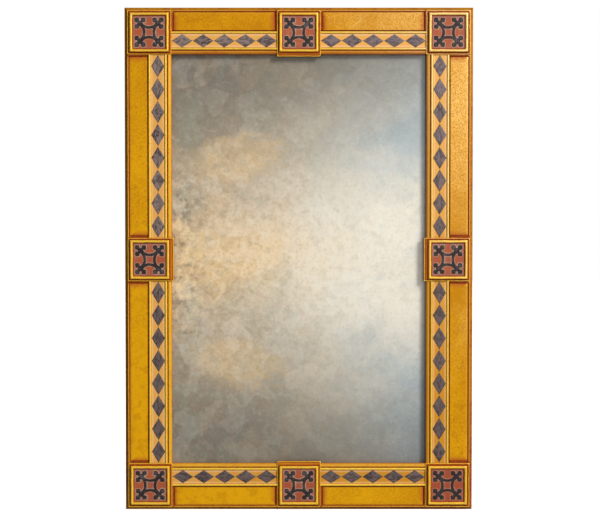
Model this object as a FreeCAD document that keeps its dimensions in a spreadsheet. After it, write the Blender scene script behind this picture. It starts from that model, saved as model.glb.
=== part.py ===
"""Overmantel mirror: a gilded block-and-run frame round an antiqued glass, 900 mm wide and 1300 mm high.

Four mitred members carry the glass. Eight raised blocks sit on their front, one at each corner and one at
the middle of each side, and each holds a carved and painted rosette tile. Between the blocks run flat gold
panels and mouldings inlaid with dark lozenges. The back is screwed on and has two D-ring hangers.

Frame: +Z up, the front faces -Y, and the origin lies on the wall plane behind the centre of the mirror.
Depths are given forward from the wall, so a depth f lies at Y = -f. The pieces of each side are drawn as
those of the top side, with X along the member, and are then turned about Y to their own side.
"""

import FreeCAD, Part
import math
import os

import Sketcher
from FreeCAD import Placement, Rotation, Vector

SIZES = {
    # The whole mirror.
    "overall_width": 900.0,
    "overall_height": 1300.0,
    # Bands across a member, from its outer edge to the sight edge.
    "outer_bevel": 7.5,
    "rim_width": 3.5,
    "rim_quirk": 2.0,
    "field_width": 45.0,
    "field_quirk": 5.0,
    "bead_width": 5.2,
    "fret_width": 36.5,
    "sight_quirk": 3.1,
    "sight_width": 7.5,
    "sight_flat": 1.0,
    "nose_overhang": 1.5,
    # Depths of the members and of what they carry behind.
    "bumper_thickness": 8.0,
    "member_thickness": 24.0,
    "glass_thickness": 4.0,
    "glass_lap": 10.0,
    "glass_clearance": 1.0,
    "board_thickness": 5.0,
    "board_lap": 16.0,
    "board_clearance": 0.5,
    # Heights above the front of the members.
    "rim_height": 6.5,
    "rim_quirk_height": 3.5,
    "field_height": 5.0,
    "field_ease": 1.0,
    "bead_height": 7.6,
    "fret_height": 4.6,
    "sight_quirk_height": 3.0,
    "sight_height": 6.5,
    "sight_edge_height": 1.5,
    # Joints between the pieces.
    "butt_gap": 0.2,
    "spline_leg": 62.0,
    "spline_thickness": 4.0,
    "spline_clearance": 0.05,
    # Lozenges let into the mouldings.
    "rail_lozenges": 5,
    "stile_lozenges": 8,
    "lozenge_width": 33.0,
    "lozenge_gap": 4.5,
    "inlay_thickness": 1.2,
    "inlay_clearance": 0.1,
    # Blocks and their tiles.
    "block_inset": 65.0,
    "corner_plinth": 114.0,
    "middle_plinth": 112.0,
    "middle_overhang": 6.5,
    "plinth_height": 10.0,
    "plinth_ease": 1.5,
    "ring_outer": 101.0,
    "ring_width": 5.7,
    "ring_height": 5.0,
    "ring_ease": 1.2,
    "recess_depth": 4.3,
    "recess_slope": 45.0,
    "tile_thickness": 5.0,
    "tile_clearance": 0.15,
    "tile_ease": 0.6,
    # Screws that hold the back board and the hangers.
    "screw_head_radius": 3.6,
    "screw_head_height": 2.2,
    "screw_radius": 1.6,
    "screw_length": 16.0,
    "screw_clearance": 0.05,
    "board_hole_radius": 2.1,
    "board_screw_inset": 107.0,
    "rail_screws": 2,
    "stile_screws": 3,
    # Hangers on the backs of the stiles.
    "hanger_inset": 46.0,
    "hanger_height": 320.0,
    "strap_width": 16.0,
    "strap_length": 50.0,
    "strap_thickness": 1.5,
    "strap_round": 5.0,
    "strap_screw_first": 28.0,
    "strap_screw_second": 42.0,
    "wire_radius": 1.75,
    "ring_running_gap": 0.08,
    "barrel_crank": 0.25,
    "ring_bar": 9.0,
    "ring_corner": 4.0,
    "ring_drop": 8.0,
    # Rubber bumpers that stand the back off the wall.
    "bumper_radius": 10.0,
    "bumper_taper": 1.0,
    "bumper_from_end": 90.0,
}

EDGE = 2.0  # how far cutting outlines pass the solid that they cut
SCREW_SIDES = 8  # alike on all four sides of the mirror, so that the screws suit their pilot holes
WIRE_SIDES = 6


class Size:
    """A number and the sheet expression that gives it."""

    def __init__(self, value, text):
        self.value = float(value)
        self.text = text

    def combine(self, other, sign, value):
        return Size(value, "(%s %s %s)" % (self.text, sign, other.text))

    def __add__(self, other):
        other = as_size(other)
        return self.combine(other, "+", self.value + other.value)

    def __sub__(self, other):
        other = as_size(other)
        return self.combine(other, "-", self.value - other.value)

    def __mul__(self, other):
        other = as_size(other)
        return self.combine(other, "*", self.value * other.value)

    def __truediv__(self, other):
        other = as_size(other)
        return self.combine(other, "/", self.value / other.value)

    def __radd__(self, other):
        return as_size(other) + self

    def __rsub__(self, other):
        return as_size(other) - self

    def __rmul__(self, other):
        return as_size(other) * self

    def __neg__(self):
        return as_size(0) - self


def as_size(number):
    """Turn a plain number into a Size, and leave a Size as it is."""
    if isinstance(number, Size):
        return number
    return Size(number, "%g" % number)


doc = FreeCAD.newDocument("overmantel_mirror")
sheet = doc.addObject("Spreadsheet::Sheet", "Sizes")
for row, (alias, number) in enumerate(SIZES.items(), start=1):
    sheet.set("A%d" % row, alias)
    sheet.set("B%d" % row, "%g" % number)
    sheet.setAlias("B%d" % row, alias)
doc.recompute()


def size(alias):
    """Return the named size of the sheet."""
    return Size(SIZES[alias], "Sizes.%s" % alias)


# Distances from the outer edge of a member to the edges of its bands.
RIM_START = size("outer_bevel")
RIM_END = RIM_START + size("rim_width")
FIELD_START = RIM_END + size("rim_quirk")
FIELD_END = FIELD_START + size("field_width")
FRET_START = FIELD_END + size("field_quirk")
GROUND_START = FRET_START + size("bead_width")
GROUND_END = GROUND_START + size("fret_width")
FRET_END = GROUND_END + size("bead_width")
SIGHT_START = FRET_END + size("sight_quirk")
SIGHT_EDGE = SIGHT_START + size("sight_width")
MEMBER_WIDTH = SIGHT_EDGE - size("nose_overhang")
GLASS_SEAT = MEMBER_WIDTH - size("glass_lap")
BOARD_SEAT = GLASS_SEAT - size("board_lap")
SCREW_LINE = (GLASS_SEAT + BOARD_SEAT) / 2
CORNER_END = size("block_inset") + size("corner_plinth") / 2
MIDDLE_END = SIGHT_EDGE + size("middle_overhang")

# Depths forward from the wall.
BACK = size("bumper_thickness")
GLASS_BACK = BACK + size("board_thickness")
GLASS_FRONT = GLASS_BACK + size("glass_thickness")
FRONT = BACK + size("member_thickness")
FRET_FACE = FRONT + size("fret_height")
PLINTH_FACE = FRONT + size("plinth_height")
RING_FACE = PLINTH_FACE + size("ring_height")
TILE_FACE = RING_FACE - size("recess_depth")
TILE_BACK = TILE_FACE - size("tile_thickness")
BARREL_RADIUS = size("wire_radius") + size("ring_running_gap") + size("strap_thickness")
HINGE_DEPTH = BACK - BARREL_RADIUS - size("barrel_crank")

HALF_WIDTH = size("overall_width") / 2
HALF_HEIGHT = size("overall_height") / 2
# The recess narrows evenly on its slope, so its floor follows from its mouth.
RECESS_MOUTH = size("ring_outer") - 2 * size("ring_width")
SLOPE_RUN = math.tan(math.radians(SIZES["recess_slope"]))
RECESS_FLOOR = RECESS_MOUTH - 2 * Size(
    SIZES["recess_depth"] * SLOPE_RUN, "(Sizes.recess_depth * tan(Sizes.recess_slope * 1 deg))"
)

subparts = []
cuts = []


def new_body(label, angle=0.0):
    """Start a named body, turned about Y to its side of the mirror."""
    body = doc.addObject("PartDesign::Body", label)
    body.Label = label
    body.Placement = Placement(Vector(0, 0, 0), Rotation(Vector(0, 1, 0), angle))
    subparts.append(body)
    return body


def move_body(body, x, z):
    """Tie a body's place in the wall plane to the sheet."""
    body.Placement.Base = Vector(x.value, 0, z.value)
    body.setExpression("Placement.Base.x", x.text)
    body.setExpression("Placement.Base.z", z.text)


def new_sketch(body, name, role, offset):
    """Add a sketch parallel to one of the body's own origin planes."""
    sketch = body.newObject("Sketcher::SketchObject", name)
    support = [plane for plane in body.Origin.OriginFeatures if plane.Role == role][0]
    sketch.AttachmentSupport = [(support, "")]
    sketch.MapMode = "FlatFace"
    sketch.AttachmentOffset = Placement(Vector(0, 0, offset.value), Rotation())
    sketch.setExpression("AttachmentOffset.Base.z", offset.text)
    return sketch


def bind(sketch, kind, references, length):
    """Add a dimension to a sketch and tie it to the sheet."""
    index = sketch.addConstraint(Sketcher.Constraint(kind, *references, length.value))
    sketch.setExpression("Constraints[%d]" % index, length.text)


def pin(sketch, geometry, point, u, v):
    """Fix a point of a sketch by its distances from the sketch's origin."""
    bind(sketch, "DistanceX", (-1, 1, geometry, point), as_size(u))
    bind(sketch, "DistanceY", (-1, 1, geometry, point), as_size(v))


def flat(u, v):
    """Return a sketch point as a vector."""
    return Vector(as_size(u).value, as_size(v).value, 0)


def outline(sketch, corners):
    """Draw a closed outline through its corners.

    A corner is (u, v) where a straight edge ends. It is (u, v, through, centre_u) where an arc ends that
    passes the point through and has its centre at centre_u.
    """
    first = sketch.GeometryCount
    ends = []
    for index, corner in enumerate(corners):
        start = flat(*corners[index - 1][:2])
        end = flat(*corner[:2])
        if len(corner) == 2:
            edge = Part.LineSegment(start, end)
        else:
            edge = Part.Arc(start, flat(*corner[2]), end)
        geometry = sketch.addGeometry(edge, False)
        swapped = sketch.getPoint(geometry, 1).distanceToPoint(start) > 1e-6
        ends.append((2, 1) if swapped else (1, 2))
    for index, corner in enumerate(corners):
        following = (index + 1) % len(corners)
        here = (first + index, ends[index][1])
        there = (first + following, ends[following][0])
        sketch.addConstraint(Sketcher.Constraint("Coincident", *here, *there))
        pin(sketch, *here, *corner[:2])
        if len(corner) == 4:
            bind(sketch, "DistanceX", (-1, 1, first + index, 3), corner[3])


def rectangle(sketch, left, right, low, high):
    """Draw a rectangle from its four sides."""
    outline(sketch, [(left, low), (right, low), (right, high), (left, high)])


def circle(sketch, u, v, radius):
    """Draw a circle."""
    geometry = sketch.addGeometry(Part.Circle(flat(u, v), Vector(0, 0, 1), radius.value), False)
    pin(sketch, geometry, 3, u, v)
    bind(sketch, "Radius", (geometry,), radius)


def many_sided(sketch, u, v, radius, sides):
    """Draw a small round as an even polygon inside its circle."""
    corners = []
    for index in range(sides):
        angle = math.radians(360 * (index + 0.5) / sides)
        corners.append((u + math.cos(angle) * radius, v + math.sin(angle) * radius))
    outline(sketch, corners)


def pad(body, name, sketch, length):
    """Raise a sketch into a solid."""
    feature = body.newObject("PartDesign::Pad", name)
    feature.Profile = sketch
    feature.Length = length.value
    feature.setExpression("Length", length.text)
    return feature


def pocket(body, name, sketch, depth, forward=False):
    """Cut a sketch into the body, against the sketch's normal or, if forward, along it."""
    feature = body.newObject("PartDesign::Pocket", name)
    feature.Profile = sketch
    feature.Length = depth.value
    feature.setExpression("Length", depth.text)
    feature.Reversed = forward
    cuts.append(feature)
    return feature


def along(body, name, feature, sketch, run, count):
    """Repeat a feature along X over a run."""
    pattern = body.newObject("PartDesign::LinearPattern", name)
    pattern.Originals = [feature]
    pattern.Direction = (sketch, ["H_Axis"])
    pattern.Length = run.value
    pattern.setExpression("Length", run.text)
    pattern.Occurrences = int(count.value)
    pattern.setExpression("Occurrences", count.text)
    body.Tip = pattern
    return pattern


def ease(body, name, edges, width):
    """Break the chosen edges of the body's last feature with a small chamfer."""
    doc.recompute()
    base = body.Tip
    chosen = ["Edge%d" % number for number, edge in enumerate(base.Shape.Edges, 1) if edges(edge)]
    feature = body.newObject("PartDesign::Chamfer", name)
    feature.Base = (base, chosen)
    feature.Size = width.value
    feature.setExpression("Size", width.text)
    return feature


def half_round(near, far, spring, crown):
    """Return the corner that ends a half-round bead running from near to far."""
    middle = (near + far) / 2
    return (-spring, far, (-crown, middle), -spring)


def screws_along(half_run, count):
    """Return the even places of the board's screws along one member, about its middle."""
    last = int(count.value) - 1
    end = half_run - BOARD_SEAT - size("board_screw_inset")
    return [end * (2 * index / last - 1) for index in range(last + 1)]


def member(label, angle, half_run, reach, screws, hanger_places):
    """Make one mitred member with its bevel, stepped rabbet, spline kerfs and screw holes."""
    body = new_body(label, angle)
    blank = new_sketch(body, label + "_outline", "XZ_Plane", BACK)
    inner = half_run - MEMBER_WIDTH
    low = reach - MEMBER_WIDTH
    outline(blank, [(-half_run, reach), (-inner, low), (inner, low), (half_run, reach)])
    pad(body, label + "_blank", blank, size("member_thickness"))

    bevel = new_sketch(body, label + "_bevel_outline", "YZ_Plane", half_run + EDGE)
    outer = size("outer_bevel")
    outline(
        bevel,
        [
            (-(FRONT + EDGE), reach - outer - EDGE),
            (-(FRONT - outer - EDGE), reach + EDGE),
            (-(FRONT + EDGE), reach + EDGE),
        ],
    )
    pocket(body, label + "_bevel", bevel, 2 * half_run + 2 * EDGE)

    for step, seat, depth in (
        ("glass", GLASS_SEAT, GLASS_FRONT - BACK),
        ("board", BOARD_SEAT, size("board_thickness")),
    ):
        rabbet = new_sketch(body, "%s_%s_seat" % (label, step), "XZ_Plane", BACK)
        rectangle(rabbet, seat - half_run, half_run - seat, low - EDGE, reach - seat)
        pocket(body, "%s_%s_rabbet" % (label, step), rabbet, depth, forward=True)

    gap = size("spline_clearance")
    middle = (BACK + FRONT) / 2
    thick = size("spline_thickness")
    kerf = new_sketch(body, label + "_kerf_outline", "XZ_Plane", middle - thick / 2 - gap)
    leg = size("spline_leg") + 2 * gap
    for side in (-1, 1):
        outline(
            kerf,
            [
                (side * (half_run - leg - EDGE), reach + EDGE),
                (side * (half_run + EDGE), reach - leg - EDGE),
                (side * (half_run + EDGE), reach + EDGE),
            ],
        )
    pocket(body, label + "_kerfs", kerf, thick + 2 * gap, forward=True)

    bore = size("screw_radius") + size("screw_clearance")
    pilots = new_sketch(body, label + "_pilot_circles", "XZ_Plane", GLASS_BACK)
    for place in screws:
        many_sided(pilots, place, reach - SCREW_LINE, bore, SCREW_SIDES)
    pocket(body, label + "_pilots", pilots, size("screw_length"), forward=True)
    if hanger_places:
        holes = new_sketch(body, label + "_hanger_circles", "XZ_Plane", BACK)
        for place in hanger_places:
            many_sided(holes, place, reach - size("hanger_inset"), bore, SCREW_SIDES)
        pocket(body, label + "_hanger_pilots", holes, size("screw_length"), forward=True)


def run_ends(half_run, side):
    """Return where a run between two blocks starts and how long it is."""
    near = size("middle_plinth") / 2 + size("butt_gap")
    far = half_run - CORNER_END - size("butt_gap")
    start = near if side > 0 else -far
    return start, far - near


def field_panel(label, angle, half_run, reach, side):
    """Make the flat gold panel of one run, with the rim bead along its outer edge."""
    body = new_body(label, angle)
    start, length = run_ends(half_run, side)
    profile = new_sketch(body, label + "_profile", "YZ_Plane", start)
    soft = size("field_ease")
    face = FRONT + size("field_height")
    crown = FRONT + size("rim_height")
    spring = crown - size("rim_width") / 2
    floor = FRONT + size("rim_quirk_height")
    outline(
        profile,
        [
            (-FRONT, reach - RIM_START),
            (-spring, reach - RIM_START),
            half_round(reach - RIM_START, reach - RIM_END, spring, crown),
            (-floor, reach - RIM_END),
            (-floor, reach - FIELD_START),
            (-(face - soft), reach - FIELD_START),
            (-face, reach - FIELD_START - soft),
            (-face, reach - FIELD_END + soft),
            (-(face - soft), reach - FIELD_END),
            (-FRONT, reach - FIELD_END),
        ],
    )
    pad(body, label + "_run", profile, length)


def lozenge(sketch, start, pitch, reach, clearance):
    """Draw the first lozenge of a run."""
    middle = start + pitch / 2
    across = reach - (GROUND_START + GROUND_END) / 2
    long_half = (pitch - size("lozenge_gap")) / 2 - clearance
    short_half = size("lozenge_width") / 2 - clearance
    outline(
        sketch,
        [
            (middle - long_half, across),
            (middle, across - short_half),
            (middle + long_half, across),
            (middle, across + short_half),
        ],
    )


def fret_moulding(label, angle, half_run, reach, side, count):
    """Make the moulding of one run: two beads, the inlaid ground between them and the sight edge."""
    body = new_body(label, angle)
    start, length = run_ends(half_run, side)
    profile = new_sketch(body, label + "_profile", "YZ_Plane", start)
    crown = FRONT + size("bead_height")
    spring = crown - size("bead_width") / 2
    quirk = FRONT + size("sight_quirk_height")
    top = FRONT + size("sight_height")
    edge = FRONT + size("sight_edge_height")
    shoulder = reach - SIGHT_START - size("sight_flat")
    nose = reach - SIGHT_EDGE
    outline(
        profile,
        [
            (-FRONT, reach - FRET_START),
            (-spring, reach - FRET_START),
            half_round(reach - FRET_START, reach - GROUND_START, spring, crown),
            (-FRET_FACE, reach - GROUND_START),
            (-FRET_FACE, reach - GROUND_END),
            (-spring, reach - GROUND_END),
            half_round(reach - GROUND_END, reach - FRET_END, spring, crown),
            (-quirk, reach - FRET_END),
            (-quirk, reach - SIGHT_START),
            (-top, reach - SIGHT_START),
            (-top, shoulder),
            (-edge, nose, ovolo_point(top, shoulder, edge, nose), -edge),
            (-FRONT, nose),
        ],
    )
    pad(body, label + "_run", profile, length)
    pitch = length / count
    seat = new_sketch(body, label + "_lozenge", "XZ_Plane", FRET_FACE)
    lozenge(seat, start, pitch, reach, as_size(0))
    first = pocket(body, label + "_seat", seat, size("inlay_thickness"))
    along(body, label + "_seats", first, seat, length - pitch, count)


def ovolo_point(top, shoulder, edge, nose):
    """Return a point on the convex arc from the shoulder to the nose of the sight edge."""
    rise = top.value - edge.value
    run = shoulder.value - nose.value
    # The centre lies level with the nose, as far from it as from the shoulder.
    radius = (rise * rise + run * run) / (2 * run)
    centre = nose.value + radius
    half_angle = math.atan2(rise, shoulder.value - centre) / 2 + math.pi / 2
    return (-edge.value - radius * math.sin(half_angle), centre + radius * math.cos(half_angle))


def lozenge_set(label, angle, half_run, reach, side, count):
    """Make the dark lozenges let into one moulding."""
    body = new_body(label, angle)
    body.AllowCompound = True
    start, length = run_ends(half_run, side)
    pitch = length / count
    shape = new_sketch(body, label + "_outline", "XZ_Plane", FRET_FACE - size("inlay_thickness"))
    lozenge(shape, start, pitch, reach, size("inlay_clearance"))
    first = pad(body, label + "_first", shape, size("inlay_thickness"))
    along(body, label + "_row", first, shape, length - pitch, count)


def turned(angle, x, z):
    """Turn a place on the top side to its own side of the mirror."""
    return {0: (x, z), 90: (z, -x), 180: (-x, -z), 270: (-z, x)}[angle]


def block(label, angle, centre, half_length, outer, inner):
    """Make a raised block about its own centre: plinth, ring, and a sloping recess with the tile's seat."""
    body = new_body(label, angle)
    move_body(body, *turned(angle, *centre))
    plinth = new_sketch(body, label + "_plinth_outline", "XZ_Plane", FRONT)
    rectangle(plinth, -half_length, half_length, -inner, outer)
    pad(body, label + "_plinth", plinth, size("plinth_height"))
    half_ring = size("ring_outer") / 2
    ring = new_sketch(body, label + "_ring_outline", "XZ_Plane", PLINTH_FACE)
    rectangle(ring, -half_ring, half_ring, -half_ring, half_ring)
    pad(body, label + "_ring", ring, size("ring_height"))

    ease(body, label + "_ring_ease", lambda edge: lies_at(edge, RING_FACE), size("ring_ease"))
    plinth_edges = [half_length.value, outer.value, inner.value]
    ease(
        body,
        label + "_plinth_ease",
        lambda edge: lies_at(edge, PLINTH_FACE) and on_border(edge, plinth_edges),
        size("plinth_ease"),
    )

    half_mouth = RECESS_MOUTH / 2
    mouth = new_sketch(body, label + "_mouth", "XZ_Plane", RING_FACE)
    rectangle(mouth, -half_mouth, half_mouth, -half_mouth, half_mouth)
    recess = pocket(body, label + "_recess", mouth, size("recess_depth"))
    recess.TaperAngle = -SIZES["recess_slope"]
    recess.setExpression("TaperAngle", "-Sizes.recess_slope")
    half_seat = RECESS_FLOOR / 2
    seat = new_sketch(body, label + "_tile_outline", "XZ_Plane", TILE_FACE)
    rectangle(seat, -half_seat, half_seat, -half_seat, half_seat)
    pocket(body, label + "_tile_seat", seat, size("tile_thickness"))


def middle_of(edge):
    """Return the middle of an edge, in the sheet's depths and places."""
    centre = edge.BoundBox.Center
    return centre.x, -centre.y, centre.z


def lies_at(edge, depth):
    """Tell whether an edge lies wholly at a depth."""
    box = edge.BoundBox
    return abs(-box.YMin - depth.value) < 1e-4 and abs(-box.YMax - depth.value) < 1e-4


def on_border(edge, borders):
    """Tell whether an edge lies on a block's outer border."""
    x, _, z = middle_of(edge)
    along_x = abs(abs(x) - borders[0]) < 1e-4
    return along_x or abs(z - borders[1]) < 1e-4 or abs(z + borders[2]) < 1e-4


def rosette_tile(label, angle, centre):
    """Make the tile that carries a rosette, eased round its face."""
    body = new_body(label)
    move_body(body, *turned(angle, *centre))
    half_tile = RECESS_FLOOR / 2 - size("tile_clearance")
    board = new_sketch(body, label + "_outline", "XZ_Plane", TILE_BACK)
    rectangle(board, -half_tile, half_tile, -half_tile, half_tile)
    pad(body, label + "_board", board, size("tile_thickness"))
    ease(body, label + "_ease", lambda edge: lies_at(edge, TILE_FACE), size("tile_ease"))


def corner_splines():
    """Make the keys that lock the mitres, trimmed flush with the outer edges."""
    body = new_body("corner_splines")
    body.AllowCompound = True
    leg = size("spline_leg")
    thick = size("spline_thickness")
    keys = new_sketch(body, "spline_outlines", "XZ_Plane", (BACK + FRONT) / 2 - thick / 2)
    for side in (-1, 1):
        for level in (-1, 1):
            x = side * HALF_WIDTH
            z = level * HALF_HEIGHT
            outline(keys, [(x - side * leg, z), (x, z), (x, z - level * leg)])
    pad(body, "spline_keys", keys, thick)


def glass():
    """Make the mirror plate, seated against the lip of the members."""
    plate = doc.addObject("Part::Box", "mirror_glass")
    plate.Label = "mirror_glass"
    half_x = HALF_WIDTH - GLASS_SEAT - size("glass_clearance")
    half_z = HALF_HEIGHT - GLASS_SEAT - size("glass_clearance")
    plate.setExpression("Length", (2 * half_x).text)
    plate.setExpression("Width", size("glass_thickness").text)
    plate.setExpression("Height", (2 * half_z).text)
    plate.setExpression("Placement.Base.x", (-half_x).text)
    plate.setExpression("Placement.Base.y", (-GLASS_FRONT).text)
    plate.setExpression("Placement.Base.z", (-half_z).text)
    subparts.append(plate)


def board_screw_places():
    """Return the places of the back board's screws."""
    across = HALF_HEIGHT - SCREW_LINE
    aside = HALF_WIDTH - SCREW_LINE
    places = []
    for x in screws_along(HALF_WIDTH, size("rail_screws")):
        places += [(x, across), (x, -across)]
    for z in screws_along(HALF_HEIGHT, size("stile_screws")):
        places += [(aside, z), (-aside, z)]
    return places


def back_board():
    """Make the board behind the glass, let in flush with the back of the members."""
    body = new_body("back_board")
    half_x = HALF_WIDTH - BOARD_SEAT - size("board_clearance")
    half_z = HALF_HEIGHT - BOARD_SEAT - size("board_clearance")
    panel = new_sketch(body, "board_outline", "XZ_Plane", BACK)
    rectangle(panel, -half_x, half_x, -half_z, half_z)
    pad(body, "board_panel", panel, size("board_thickness"))
    holes = new_sketch(body, "board_circles", "XZ_Plane", BACK)
    for x, z in board_screw_places():
        circle(holes, x, z, size("board_hole_radius"))
    pocket(body, "board_holes", holes, size("board_thickness"), forward=True)


def hanger_screw_places():
    """Return the places of the hangers' screws."""
    places = []
    for side in (-1, 1):
        x = side * (HALF_WIDTH - size("hanger_inset"))
        for drop in (size("strap_screw_first"), size("strap_screw_second")):
            places.append((x, size("hanger_height") - drop))
    return places


def screws(label, places, seat):
    """Make one group of screws whose heads rest on a seat and whose shanks point forward."""
    body = new_body(label)
    body.AllowCompound = True
    high = size("screw_head_height")
    shanks = new_sketch(body, label + "_shank_outlines", "XZ_Plane", seat - high)
    heads = new_sketch(body, label + "_head_outlines", "XZ_Plane", seat - high)
    for x, z in places:
        many_sided(shanks, x, z, size("screw_radius"), SCREW_SIDES)
        many_sided(heads, x, z, size("screw_head_radius"), SCREW_SIDES)
    pad(body, label + "_shanks", shanks, high + size("screw_length"))
    pad(body, label + "_heads", heads, high)


def wall_bumpers():
    """Make the four rubber bumpers stuck to the backs of the stiles, wider there than at the wall."""
    body = new_body("wall_bumpers")
    body.AllowCompound = True
    feet = new_sketch(body, "bumper_circles", "XZ_Plane", as_size(0))
    for side in (-1, 1):
        for level in (-1, 1):
            x = side * (HALF_WIDTH - size("hanger_inset"))
            z = level * (HALF_HEIGHT - size("bumper_from_end"))
            circle(feet, x, z, size("bumper_radius") - size("bumper_taper"))
    cones = pad(body, "bumper_cones", feet, size("bumper_thickness"))
    cones.TaperAngle = math.degrees(math.atan(SIZES["bumper_taper"] / SIZES["bumper_thickness"]))
    cones.setExpression("TaperAngle", "atan(Sizes.bumper_taper / Sizes.bumper_thickness)")


def hanger_strap(label, side):
    """Make a strap, drawn about its hinge line, with a barrel rolled round the ring's bar."""
    body = new_body(label)
    move_body(body, side * (HALF_WIDTH - size("hanger_inset")), size("hanger_height"))
    half = size("strap_width") / 2
    plate = new_sketch(body, label + "_plate_outline", "XZ_Plane", BACK - size("strap_thickness"))
    rectangle(plate, -half, half, -size("strap_length"), as_size(0))
    pad(body, label + "_plate", plate, size("strap_thickness"))
    knuckle = new_sketch(body, label + "_barrel_circle", "YZ_Plane", -half)
    circle(knuckle, -HINGE_DEPTH, as_size(0), BARREL_RADIUS)
    pad(body, label + "_barrel", knuckle, size("strap_width"))
    bore = new_sketch(body, label + "_bore_circle", "YZ_Plane", half)
    circle(bore, -HINGE_DEPTH, as_size(0), size("wire_radius") + size("ring_running_gap"))
    pocket(body, label + "_bore", bore, size("strap_width"))
    holes = new_sketch(body, label + "_screw_circles", "XZ_Plane", BACK - size("strap_thickness"))
    for drop in (size("strap_screw_first"), size("strap_screw_second")):
        circle(holes, as_size(0), -drop, size("board_hole_radius"))
    pocket(body, label + "_screw_holes", holes, size("strap_thickness"), forward=True)

    doc.recompute()
    base = body.Tip
    foot = -SIZES["strap_length"]
    corners = []
    for number, edge in enumerate(base.Shape.Edges, 1):
        box = edge.BoundBox
        upright = box.YLength > 1.0 and box.XLength < 1e-4 and box.ZLength < 1e-4
        if upright and abs(box.ZMin - foot) < 1e-4:
            corners.append("Edge%d" % number)
    rounded = body.newObject("PartDesign::Fillet", label + "_foot")
    rounded.Base = (base, corners)
    rounded.Radius = SIZES["strap_round"]
    rounded.setExpression("Radius", "Sizes.strap_round")


def hanger_ring(label, side):
    """Make a D-ring of bent wire, hanging from its round bar."""
    body = new_body(label)
    move_body(body, side * (HALF_WIDTH - size("hanger_inset")), size("hanger_height"))
    bar = size("ring_bar")
    bend = size("ring_corner")
    leg = bar + bend
    drop = -size("ring_drop")
    zero = as_size(0)
    diagonal = math.sqrt(0.5) * bend
    shoulder = bar + diagonal
    wire = size("wire_radius")
    axle = new_sketch(body, label + "_bar_circle", "YZ_Plane", -bar)
    circle(axle, -HINGE_DEPTH, zero, wire)
    pad(body, label + "_bar", axle, 2 * bar)

    path = new_sketch(body, label + "_path", "XZ_Plane", HINGE_DEPTH)
    outline(
        path,
        [
            (bar, zero),
            (leg, -bend, (shoulder, diagonal - bend), bar),
            (leg, drop),
            (-leg, drop, (zero, drop - leg)),
            (-leg, -bend),
            (-bar, zero, (-shoulder, diagonal - bend), -bar),
        ],
    )
    bind(path, "DistanceY", (-1, 1, 3, 3), drop)
    section = new_sketch(body, label + "_section", "YZ_Plane", bar)
    many_sided(section, -HINGE_DEPTH, zero, wire, WIRE_SIDES)
    doc.recompute()
    bow = body.newObject("PartDesign::AdditivePipe", label + "_bow")
    bow.Profile = section
    # The first edge of the path is the bar, which is padded.
    bow.Spine = (path, ["Edge%d" % number for number in range(2, path.GeometryCount + 1)])


SIDES = (
    # Name, member, turn about Y, half length, reach, lozenges, run ahead, run behind, corner.
    ("top", "top_rail", 0, HALF_WIDTH, HALF_HEIGHT, "rail_lozenges", "right", "left", "top_right"),
    ("right", "right_stile", 90, HALF_HEIGHT, HALF_WIDTH, "stile_lozenges", "lower", "upper", "bottom_right"),
    ("bottom", "bottom_rail", 180, HALF_WIDTH, HALF_HEIGHT, "rail_lozenges", "left", "right", "bottom_left"),
    ("left", "left_stile", 270, HALF_HEIGHT, HALF_WIDTH, "stile_lozenges", "upper", "lower", "top_left"),
)


def build():
    """Make every piece of the mirror."""
    strap_drops = (size("strap_screw_first"), size("strap_screw_second"))
    for name, beam, angle, half_run, reach, count, ahead, behind, corner in SIDES:
        kind = count.split("_")[0]
        places = screws_along(half_run, size(kind + "_screws"))
        hanger_places = []
        if kind == "stile":
            upward = 1 if name == "left" else -1
            hanger_places = [upward * (size("hanger_height") - drop) for drop in strap_drops]
        member(beam, angle, half_run, reach, places, hanger_places)
        for side, end in ((1, ahead), (-1, behind)):
            tail = "%s_%s" % (name, end)
            field_panel("field_panel_" + tail, angle, half_run, reach, side)
            fret_moulding("fret_moulding_" + tail, angle, half_run, reach, side, size(count))
            lozenge_set("lozenges_" + tail, angle, half_run, reach, side, size(count))
        inset = size("block_inset")
        middle = (as_size(0), reach - inset)
        half_corner = size("corner_plinth") / 2
        overhang = MIDDLE_END - inset
        block("block_%s_middle" % name, angle, middle, size("middle_plinth") / 2, half_corner, overhang)
        rosette_tile("rosette_%s_middle" % name, angle, middle)
        end_place = (half_run - inset, reach - inset)
        block("block_" + corner, angle, end_place, half_corner, half_corner, half_corner)
        rosette_tile("rosette_" + corner, angle, end_place)
    corner_splines()
    glass()
    back_board()
    screws("back_board_screws", board_screw_places(), BACK)
    for label, side in (("left", -1), ("right", 1)):
        hanger_strap("hanger_strap_" + label, side)
        hanger_ring("hanger_ring_" + label, side)
    screws("hanger_screws", hanger_screw_places(), BACK - size("strap_thickness"))
    wall_bumpers()


def check():
    """Stop if any object failed, a cut removed nothing or a piece has no sound shape."""
    for item in doc.Objects:
        if "Invalid" in item.State or "Error" in item.State:
            raise RuntimeError("%s did not build: %s" % (item.Name, item.State))
    for cut in cuts:
        if cut.Shape.Volume > cut.BaseFeature.Shape.Volume - 1.0:
            raise RuntimeError("%s cuts nothing" % cut.Name)
    for piece in subparts:
        if piece.Shape.isNull() or not piece.Shape.isValid():
            raise RuntimeError("%s has no sound shape" % piece.Label)


build()
doc.recompute()
check()
os.makedirs("parts", exist_ok=True)
for piece in subparts:
    piece.Shape.exportStep("parts/%s.step" % piece.Label)
print("pieces", len(subparts), "solids", sum(len(piece.Shape.Solids) for piece in subparts))
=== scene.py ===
"""Overmantel mirror: the gilding, paint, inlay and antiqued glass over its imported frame.

The front faces -Y and the wall lies at Y = 0, so a depth forward of the wall is -Y. The pieces of each side
are shaped as those of the top side, along X, and are then turned about Y to their own side. Lengths are in
metres.
"""

import math

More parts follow.
